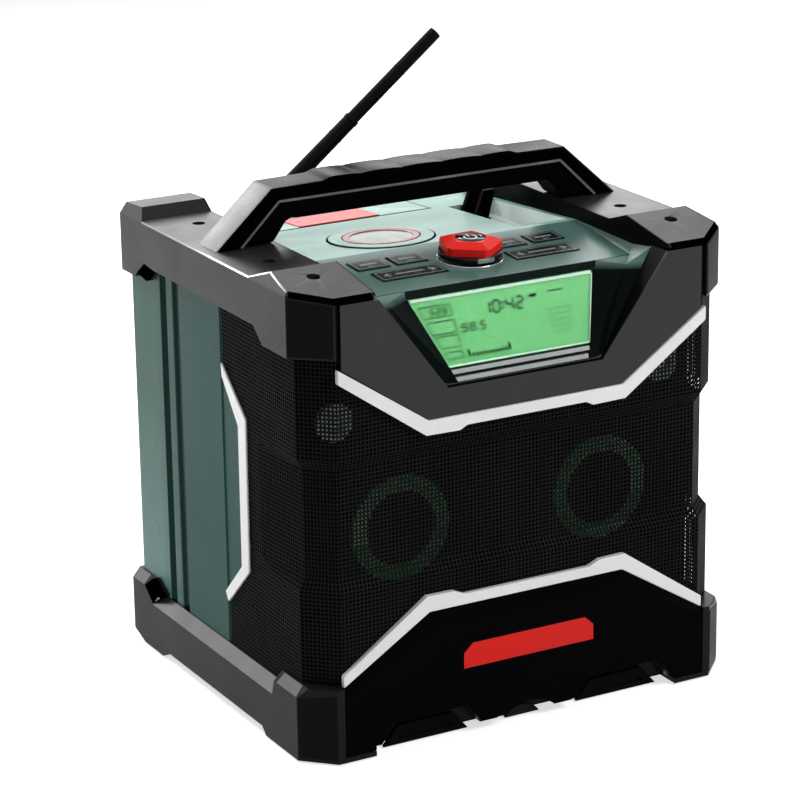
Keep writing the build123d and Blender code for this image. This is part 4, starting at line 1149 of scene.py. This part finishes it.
@dataclass
class Knob:
    """Black emblem in the cap's sunk centre, and the bright pointer on the skirt."""

    emblem: Tuple[Point2, ...] = ((0.0, 0.0), (8.7, 0.0), (8.7, 0.35), (8.1, 0.7), (0.0, 0.5))
    sunk: float = 12.0
    sign_lift: Point2 = (0.55, 0.75)
    sign_radius: float = 3.6
    sign_arc: Point2 = (130.0, 280.0)
    sign_steps: int = 14
    sign_line: float = 1.0
    sign_bar: Point2 = (1.2, 5.4)
    arrow_x: Point2 = (6.0, 7.4)
    arrow_y: float = 1.4
    arrow_line: float = 0.8
    skirt_radius: float = 18.5
    pointer_arc: Point2 = (-104.0, 28.0)
    pointer_steps: int = 7
    pointer_level: float = 4.0
    pointer_block: Point3 = (0.5, 1.6, 2.6)

    def sign(self, plane: Tilted) -> None:
        """Build the power sign and the two arrow heads beside it."""
        piece = Piece("knob_sign")
        lift = (self.sunk + self.sign_lift[0], self.sunk + self.sign_lift[1])
        start, sweep = self.sign_arc
        turns = [math.radians(start + sweep * n / self.sign_steps) for n in range(self.sign_steps + 1)]
        points = [(self.sign_radius * math.cos(turn), self.sign_radius * math.sin(turn)) for turn in turns]
        for first, last in zip(points, points[1:]):
            plane.stroke(piece, first, last, self.sign_line, lift)
        low, high = self.sign_bar
        plane.stroke(piece, (0.0, low), (0.0, high), self.sign_line, lift)
        inner, tip = self.arrow_x
        for side in SIDES:
            for y in (self.arrow_y, -self.arrow_y):
                plane.stroke(piece, (side * inner, y), (side * tip, 0.0), self.arrow_line, lift)
        piece.finish("knob", "white_gloss", Finish.MARK_WHITE)

    def pointer(self, plane: Tilted) -> None:
        """Build the curved patch on the skirt out of narrow blocks."""
        piece = Piece("knob_pointer")
        start, sweep = self.pointer_arc
        place = Matrix.Translation((self.skirt_radius, 0.0, self.pointer_level))
        size = Matrix.Diagonal((*self.pointer_block, 1.0))
        for n in range(self.pointer_steps):
            angle = math.radians(start + sweep * n / (self.pointer_steps - 1))
            turn = Matrix.Rotation(angle, 4, "Z")
            spot = turn @ place @ size
            bmesh.ops.create_cube(piece.mesh, size=1.0, matrix=plane.matrix @ spot)
        piece.finish("knob", "chrome_ring", Finish.CHROME)

    def build(self) -> None:
        """Build the emblem disc, its sign and the pointer."""
        plane = deck_plane(0.0, KNOB_Y)
        disc = Piece("knob_emblem")
        disc.spun(self.emblem, plane.matrix @ Matrix.Translation((0.0, 0.0, self.sunk)))
        disc.finish("knob", "inner_black", Finish.BLACK_GLOSS)
        self.sign(plane)
        self.pointer(plane)


@dataclass
class Dish:
    """Rings of the round dish in the rear deck."""

    centre: Point2 = (-20.0, 15.0)
    edge: float = 0.25
    # Name, inner and outer radius, foot and top over the deck, slot and finish
    rings: Tuple[Tuple[str, float, float, float, float, str, Finish], ...] = (
        ("dish_red_ring", 18.6, 22.6, 0.3, 1.0, "red_plastic", Finish.RED_RING),
        ("dish_groove", 22.6, 23.3, 0.4, 0.95, "inner_black", Finish.INNER),
        # painted shadow: dark ring round the dish's step
        ("dish_step_shadow", 30.9, 32.1, -0.4, 0.45, "inner_black", Finish.INNER))

    def build(self) -> None:
        """Build the red ring, its dark groove and a dark outer ring of painted shadow at the step, each with
        a bevelled top.
        """
        place = deck_plane(*self.centre).matrix
        for name, inner, outer, low, high, slot, finish in self.rings:
            edge = min(self.edge, (high - low) / 3)
            profile = [
                (inner, low), (outer, low), (outer, high - edge), (outer - edge, high),
                (inner + edge, high), (inner, high - edge), (inner, low)]
            piece = Piece(name)
            piece.spun(profile, place, 96)
            piece.finish("cabinet", slot, finish)


@dataclass
class HandleGrip:
    """Soft sleeve of the handle with finger bumps along its top."""

    foot: float = 132.6
    corner: float = 97.0
    top: float = 302.0
    inner_foot: float = 118.2
    inner_corner: float = 93.0
    inner_top: float = 294.0
    depth: float = 26.0
    bumps: int = 5
    bump_steps: int = 16
    bump_reach: float = 66.0
    bump_height: float = 2.3
    bump_power: float = 0.6
    valley: float = 0.7
    ramp: float = 7.0

    def stations(self) -> List[Tuple[Vector, Vector, float]]:
        """Outer point, inner point and bump height along the bar, in the front view."""
        feet, corners = ([
            (Vector((side * outer, high)), Vector((side * inner, low)), 0.0) for side in SIDES]
            for outer, inner, high, low in (
                (self.foot, self.inner_foot, RAIL_TOP, RAIL_TOP),
                (self.corner, self.inner_corner, self.top, self.inner_top)))
        made = [feet[0], corners[0]]
        steps = self.bump_steps * self.bumps
        for n in range(1, steps):
            x = self.bump_reach * (2 * n / steps - 1)
            swell = abs(math.sin(math.pi * self.bumps * n / steps)) ** self.bump_power
            wave = self.valley + (1.0 - self.valley) * swell
            wave *= min(1.0, (self.bump_reach - abs(x)) / self.ramp)
            made.append((Vector((x, self.top)), Vector((x, self.inner_top)), self.bump_height * wave))
        return made + [corners[1], feet[1]]

    def section(self) -> List[Point3]:
        """Depth, share of the way to the inner line, and share of the bump of each corner."""
        d = self.depth
        return [
            (1.3, 1.0, 0.0), (0.0, 0.96, 0.0), (0.0, 0.30, 0.2), (0.5, 0.12, 0.7), (1.6, 0.02, 1.0),
            (3.4, 0.0, 1.0), (d - 3.4, 0.0, 1.0), (d - 1.6, 0.02, 1.0), (d - 0.5, 0.12, 0.7),
            (d, 0.30, 0.2), (d, 0.96, 0.0), (d - 1.3, 1.0, 0.0), (d - 1.3, 0.26, 0.0), (1.3, 0.26, 0.0),
        ]

    def build(self) -> None:
        """Draw the section along the bar."""
        piece = Piece("handle_sleeve")
        edges: List[bmesh.types.BMEdge] = []
        for outer, inner, bump in self.stations():
            places = []
            for y, share, lift in self.section():
                flat = outer.lerp(inner, share)
                places.append(Vector((flat.x, y, flat.y + bump * lift)))
            if not edges:
                verts = [piece.mesh.verts.new(p) for p in places]
                edges = [piece.mesh.edges.new((a, b)) for a, b in zip(verts, verts[1:] + verts[:1])]
                continue
            made = bmesh.ops.extrude_edge_only(piece.mesh, edges=edges)["geom"]
            edges = [e for e in made if isinstance(e, bmesh.types.BMEdge)]
            self.settle(edges, places)
        bmesh.ops.holes_fill(piece.mesh, edges=[e for e in piece.mesh.edges if e.is_boundary], sides=0)
        bmesh.ops.recalc_face_normals(piece.mesh, faces=piece.mesh.faces)
        piece.finish("cabinet", "soft_grip", Finish.GRIP, ("handle_grip",), 28.0)

    @staticmethod
    def settle(edges: Sequence[bmesh.types.BMEdge], places: Sequence[Vector]) -> None:
        """Move a freshly drawn loop onto its station.

        Args:
            edges: Edges of the loop in the order of the section.
            places: Target of each corner.
        """
        for n, place in enumerate(places):
            shared = set(edges[n].verts) & set(edges[n - 1].verts)
            shared.pop().co = place


@dataclass
class Shadows:
    """Black linings of the diamond recesses, of the lid's seam and behind the base windows."""

    # Corners of each recess, depth and height, and the distance of its mouth from the middle plane
    notches: Tuple[Tuple[Tuple[Point2, ...], float], ...] = (
        (((95.9, 236.9), (84.7, 245.3), (71.7, 243.9), (82.2, 235.1)), 139.8),
        (((100.5, 39.3), (89.5, 30.9), (75.4, 39.4), (89.7, 46.7)), 140.8))
    floor: float = 137.45
    floor_thick: float = 0.25
    wall_thick: float = 0.2
    wall_gap: float = 0.02
    seam: Tuple[Point2, Point2] = ((-77.0, 47.0), (72.5, 73.45))
    seam_level_y: float = 73.0
    seam_lift: Point2 = (-0.6, 0.08)
    backing: Tuple[Point2, Point2, Point2] = ((-99.0, 99.0), (-106.9, -106.3), (3.6, 8.6))

    def line(self, piece: Piece, notch: Sequence[Point2], mouth: float, side: int) -> None:
        """Line one recess: its floor, and its walls from there to near its mouth.

        Args:
            piece: Piece that receives the linings.
            notch: Corners of the recess, depth and height.
            mouth: Distance of the mouth from the middle plane.
            side: Side of the radio.
        """
        piece.plate([(side * self.floor, y, z) for y, z in notch], (side * self.floor_thick, 0.0, 0.0))
        middle = sum((Vector(corner) for corner in notch), Vector((0.0, 0.0))) / len(notch)
        for start, end in zip(notch, [*notch[1:], notch[0]]):
            inward = (middle - (Vector(start) + Vector(end)) / 2).normalized()
            shift, push = inward * self.wall_gap, inward * self.wall_thick
            rim = ((self.floor, start), (self.floor, end), (mouth, end), (mouth, start))
            piece.plate([(side * x, y + shift.x, z + shift.y) for x, (y, z) in rim], (0.0, push.x, push.y))

    def build(self) -> None:
        """Build the recess linings, the seam of the battery lid and the backing of the windows."""
        linings = Piece("notch_floors")
        for side in SIDES:
            for notch, mouth in self.notches:
                self.line(linings, notch, mouth, side)
        linings.finish("cabinet", "inner_black", Finish.INNER)
        level = deck_height(self.seam_level_y)
        seam_z = (level + self.seam_lift[0], level + self.seam_lift[1])
        for name, limits in (("lid_seam", (*self.seam, seam_z)), ("window_backing", self.backing)):
            piece = Piece(name)
            piece.block(*limits)
            piece.finish("cabinet", "inner_black", Finish.INNER)


@dataclass(frozen=True)
class Skin:
    """Thin plates on faces of both sides, given by their corners and outward way on the right side."""

    name: str
    slot: str
    finish: Finish
    thick: float
    plates: Tuple[Tuple[Point3, Outline], ...]

    def build(self) -> None:
        """Lay every plate on both sides."""
        piece = Piece(self.name)
        for side in SIDES:
            for out, corners in self.plates:
                push = Vector((side * out[0], out[1], out[2])).normalized() * self.thick
                piece.plate([(side * x, y, z) for x, y, z in corners], tuple(push))
        piece.finish("cabinet", self.slot, self.finish)


@dataclass
class ShellSkins:
    """Skins of frame and base: painted shade on corners and bevels, painted highlights on edges, painted
    light on ledges.
    """

    thick: float = 0.12
    shade_plate_thick: float = 0.2995
    corner_way: Point3 = (0.67, -0.74, 0.0)
    corner_band_way: Point3 = (0.47, -0.53, 0.7)
    front_band_way: Point3 = (0.0, -0.7, 0.7)
    edge_way: Point3 = (0.8, 0.0, 0.6)
    # painted shade: plates on the corner chamfers
    shade_plates: Tuple[Outline, ...] = (
        ((120.6, -114.5, 235.6), (139.5, -97.4, 235.6), (139.5, -97.4, 267.8), (120.6, -114.5, 264.8)),
        ((124.5, -117.0, 3.4), (140.5, -101.0, 3.4), (140.5, -101.0, 38.2), (124.5, -117.0, 41.6)))
    # painted highlights along the outer top edges
    lines: Tuple[Outline, ...] = (
        ((139.3, -53.0, 270.1), (139.3, 86.0, 270.1), (140.0, 86.0, 269.2), (140.0, -53.0, 269.2)),
        ((134.6, -70.5, 276.1), (135.3, -70.5, 275.2), (138.8, -96.0, 270.6), (138.1, -96.0, 271.6)),
        ((134.6, -70.2, 276.1), (139.2, -53.0, 270.1), (139.9, -53.0, 269.3), (135.3, -70.2, 275.2)))
    # painted shade: black bands on the front bevels of the blocks
    corner_shade_band: Outline = (
        (120.1, -115.0, 265.6), (139.0, -98.0, 268.5), (137.2, -96.0, 271.5), (119.0, -112.4, 268.7))
    front_shade_band: Outline = (
        (96.0, -115.0, 265.6), (120.1, -115.0, 265.6), (119.0, -112.4, 268.7), (96.0, -112.4, 268.7))
    # painted light on the ledge tops of the base
    ledges: Tuple[Outline, ...] = (
        ((135.4, -73.0, 37.4), (135.4, 89.2, 37.4), (140.9, 89.2, 30.1), (140.9, -69.8, 30.1)),
        ((136.2, -99.0, 44.8), (136.2, -77.6, 44.8), (140.9, -76.0, 39.2), (140.9, -99.8, 39.2)),
        ((136.2, 100.8, 44.8), (136.2, 116.0, 44.8), (140.9, 116.0, 39.2), (140.9, 101.2, 39.2)))

    def build(self) -> None:
        """Build the painted shade on the corners, the painted highlights along edges, the painted shade on
        the bevel bands and the painted light on the ledge tops.
        """
        bands = ((self.corner_band_way, self.corner_shade_band), (self.front_band_way, self.front_shade_band))
        shade_plates, lines, ledges = (
            tuple((way, corners) for corners in outlines)
            for way, outlines in (
                (self.corner_way, self.shade_plates), (self.edge_way, self.lines), (self.edge_way, self.ledges)))
        Skin("corner_shade_plates", "inner_black", Finish.CORNER, self.shade_plate_thick, shade_plates).build()
        Skin("edge_highlights", "dark_shell", Finish.EDGE_SHINE, self.thick, lines).build()
        Skin("edge_shade_bands", "inner_black", Finish.INNER, self.thick, bands).build()
        Skin("base_ledge_light", "dark_shell", Finish.LEDGE, self.thick, ledges).build()


@dataclass
class DisplayLipHighlights:
    """Painted highlights: two pale lines along the stepped lip under the display."""

    # Depth and height of the upper and of the lower edge, and half the length, of each line
    steps: Tuple[Tuple[Point2, Point2, float], ...] = (
        ((-108.5, 215.6), (-109.9, 213.5), 47.5), ((-110.2, 211.6), (-111.7, 209.5), 46.0))
    push: Point3 = (0.0, -0.12, 0.0792)

    def build(self) -> None:
        """Lay a thin band on each step."""
        piece = Piece("lip_highlights")
        for high, low, half in self.steps:
            piece.plate([(-half, *high), (-half, *low), (half, *low), (half, *high)], self.push)
        piece.finish("cabinet", "green_shell", Finish.LIP)


@dataclass
class WellLining:
    """Pale lining on the floor and the walls of the well in the right of the rear deck, as painted light."""

    floor: float = 247.4
    floor_x: Point2 = (58.0, 88.0)
    floor_inset: float = 0.4
    y: Point2 = (-11.9, 69.9)
    lean: float = 4.4 / 22.6
    brim: float = 0.3
    thick: float = 0.12

    def rim(self, y: float) -> Tuple[Point2, Point2]:
        """Left and right end of the well's upper edge at a depth, each across and in height."""
        top = deck_height(y) - self.brim
        reach = self.lean * (top - self.floor)
        return (self.floor_x[0] - reach, top), (self.floor_x[1] + reach, top)

    def build(self) -> None:
        """Build the floor, both side walls and both end walls."""
        piece = Piece("well_lining")
        left, right = self.floor_x
        inside = (left + self.floor_inset, right - self.floor_inset)
        piece.block(inside, self.y, (self.floor, self.floor + self.thick))
        front, rear = self.y
        for index, x, side in ((1, right, 1), (0, left, -1)):
            (front_x, front_z), (rear_x, rear_z) = (self.rim(y)[index] for y in self.y)
            corners = [
                (x, front, self.floor), (x, rear, self.floor), (rear_x, rear, rear_z),
                (front_x, front, front_z)]
            piece.plate(corners, (-side * self.thick, 0.0, 0.0))
        for y, push in zip(self.y, (1, -1)):
            (low_x, top), (high_x, _) = self.rim(y)
            corners = [(left, y, self.floor), (right, y, self.floor), (high_x, y, top), (low_x, y, top)]
            piece.plate(corners, (0.0, push * self.thick, 0.0))
        piece.finish("cabinet", "green_shell", Finish.WELL_PALE)


@dataclass
class GripEdgeHighlight:
    """Painted highlight: a thin raised grey line along the lower front edge of the soft sleeve."""

    foot: Point2 = (117.6, 270.6)
    corner: Point2 = (93.2, 294.3)
    width: float = 1.4
    depth: Point2 = (-0.4, 0.22)

    def build(self) -> None:
        """Draw the line up one leg, along the bar and down the other leg."""
        piece = Piece("grip_edge_highlight")
        plane = Tilted((0.0, 0.0, 0.0), (0.0, 0.0, 1.0), (0.0, -1.0, 0.0))
        (fx, fz), (cx, cz) = self.foot, self.corner
        points = [(-fx, fz), (-cx, cz), (cx, cz), (fx, fz)]
        for start, end in zip(points, points[1:]):
            plane.stroke(piece, start, end, self.width, self.depth)
        piece.finish("cabinet", "soft_grip", Finish.PIPING)


@dataclass
class AntennaBands:
    """Collars at the faint steps along the antenna's rod."""

    marks: Tuple[Point3, ...] = ((0.45, 4.75, 1.6), (0.53, 4.75, 3.0), (0.80, 4.15, 1.2))
    length: float = 160.0
    taper: float = 0.1
    chamfer: float = 0.2

    def build(self) -> None:
        """Build the collars round the rod; a mark is a share of the length, a radius and a height."""
        piece = Piece("antenna_bands")
        along = Vector((math.cos(ANTENNA_ANGLE), 0.0, math.sin(ANTENNA_ANGLE)))
        turn = along.to_track_quat("Z", "Y").to_matrix().to_4x4()
        for share, radius, height in self.marks:
            place = Matrix.Translation(Vector(ANTENNA_PIVOT) + along * (share * self.length))
            piece.collar(place @ turn, radius, radius - self.taper, height)
        piece.chamfered(self.chamfer)
        piece.finish("antenna_arm", "antenna_rubber", Finish.RUBBER)


def main() -> None:
    """Build the studio and every sub-assembly of the radio."""
    logging.basicConfig(level=logging.INFO)
    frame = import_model()
    Studio().set_up()
    ConstructionFinishes(frame["nodes"]).dress()
    parts = (
        Grille(), HandleGrip(), DisplayScreen(), KeyMarks(), Knob(), Dish(), Shadows(), ShellSkins(),
        DisplayLipHighlights(), WellLining(), GripEdgeHighlight(), AntennaBands())
    for part in parts:
        LOG.info("building %s", type(part).__name__)
        part.build()


if __name__ == "__main__":
    main()
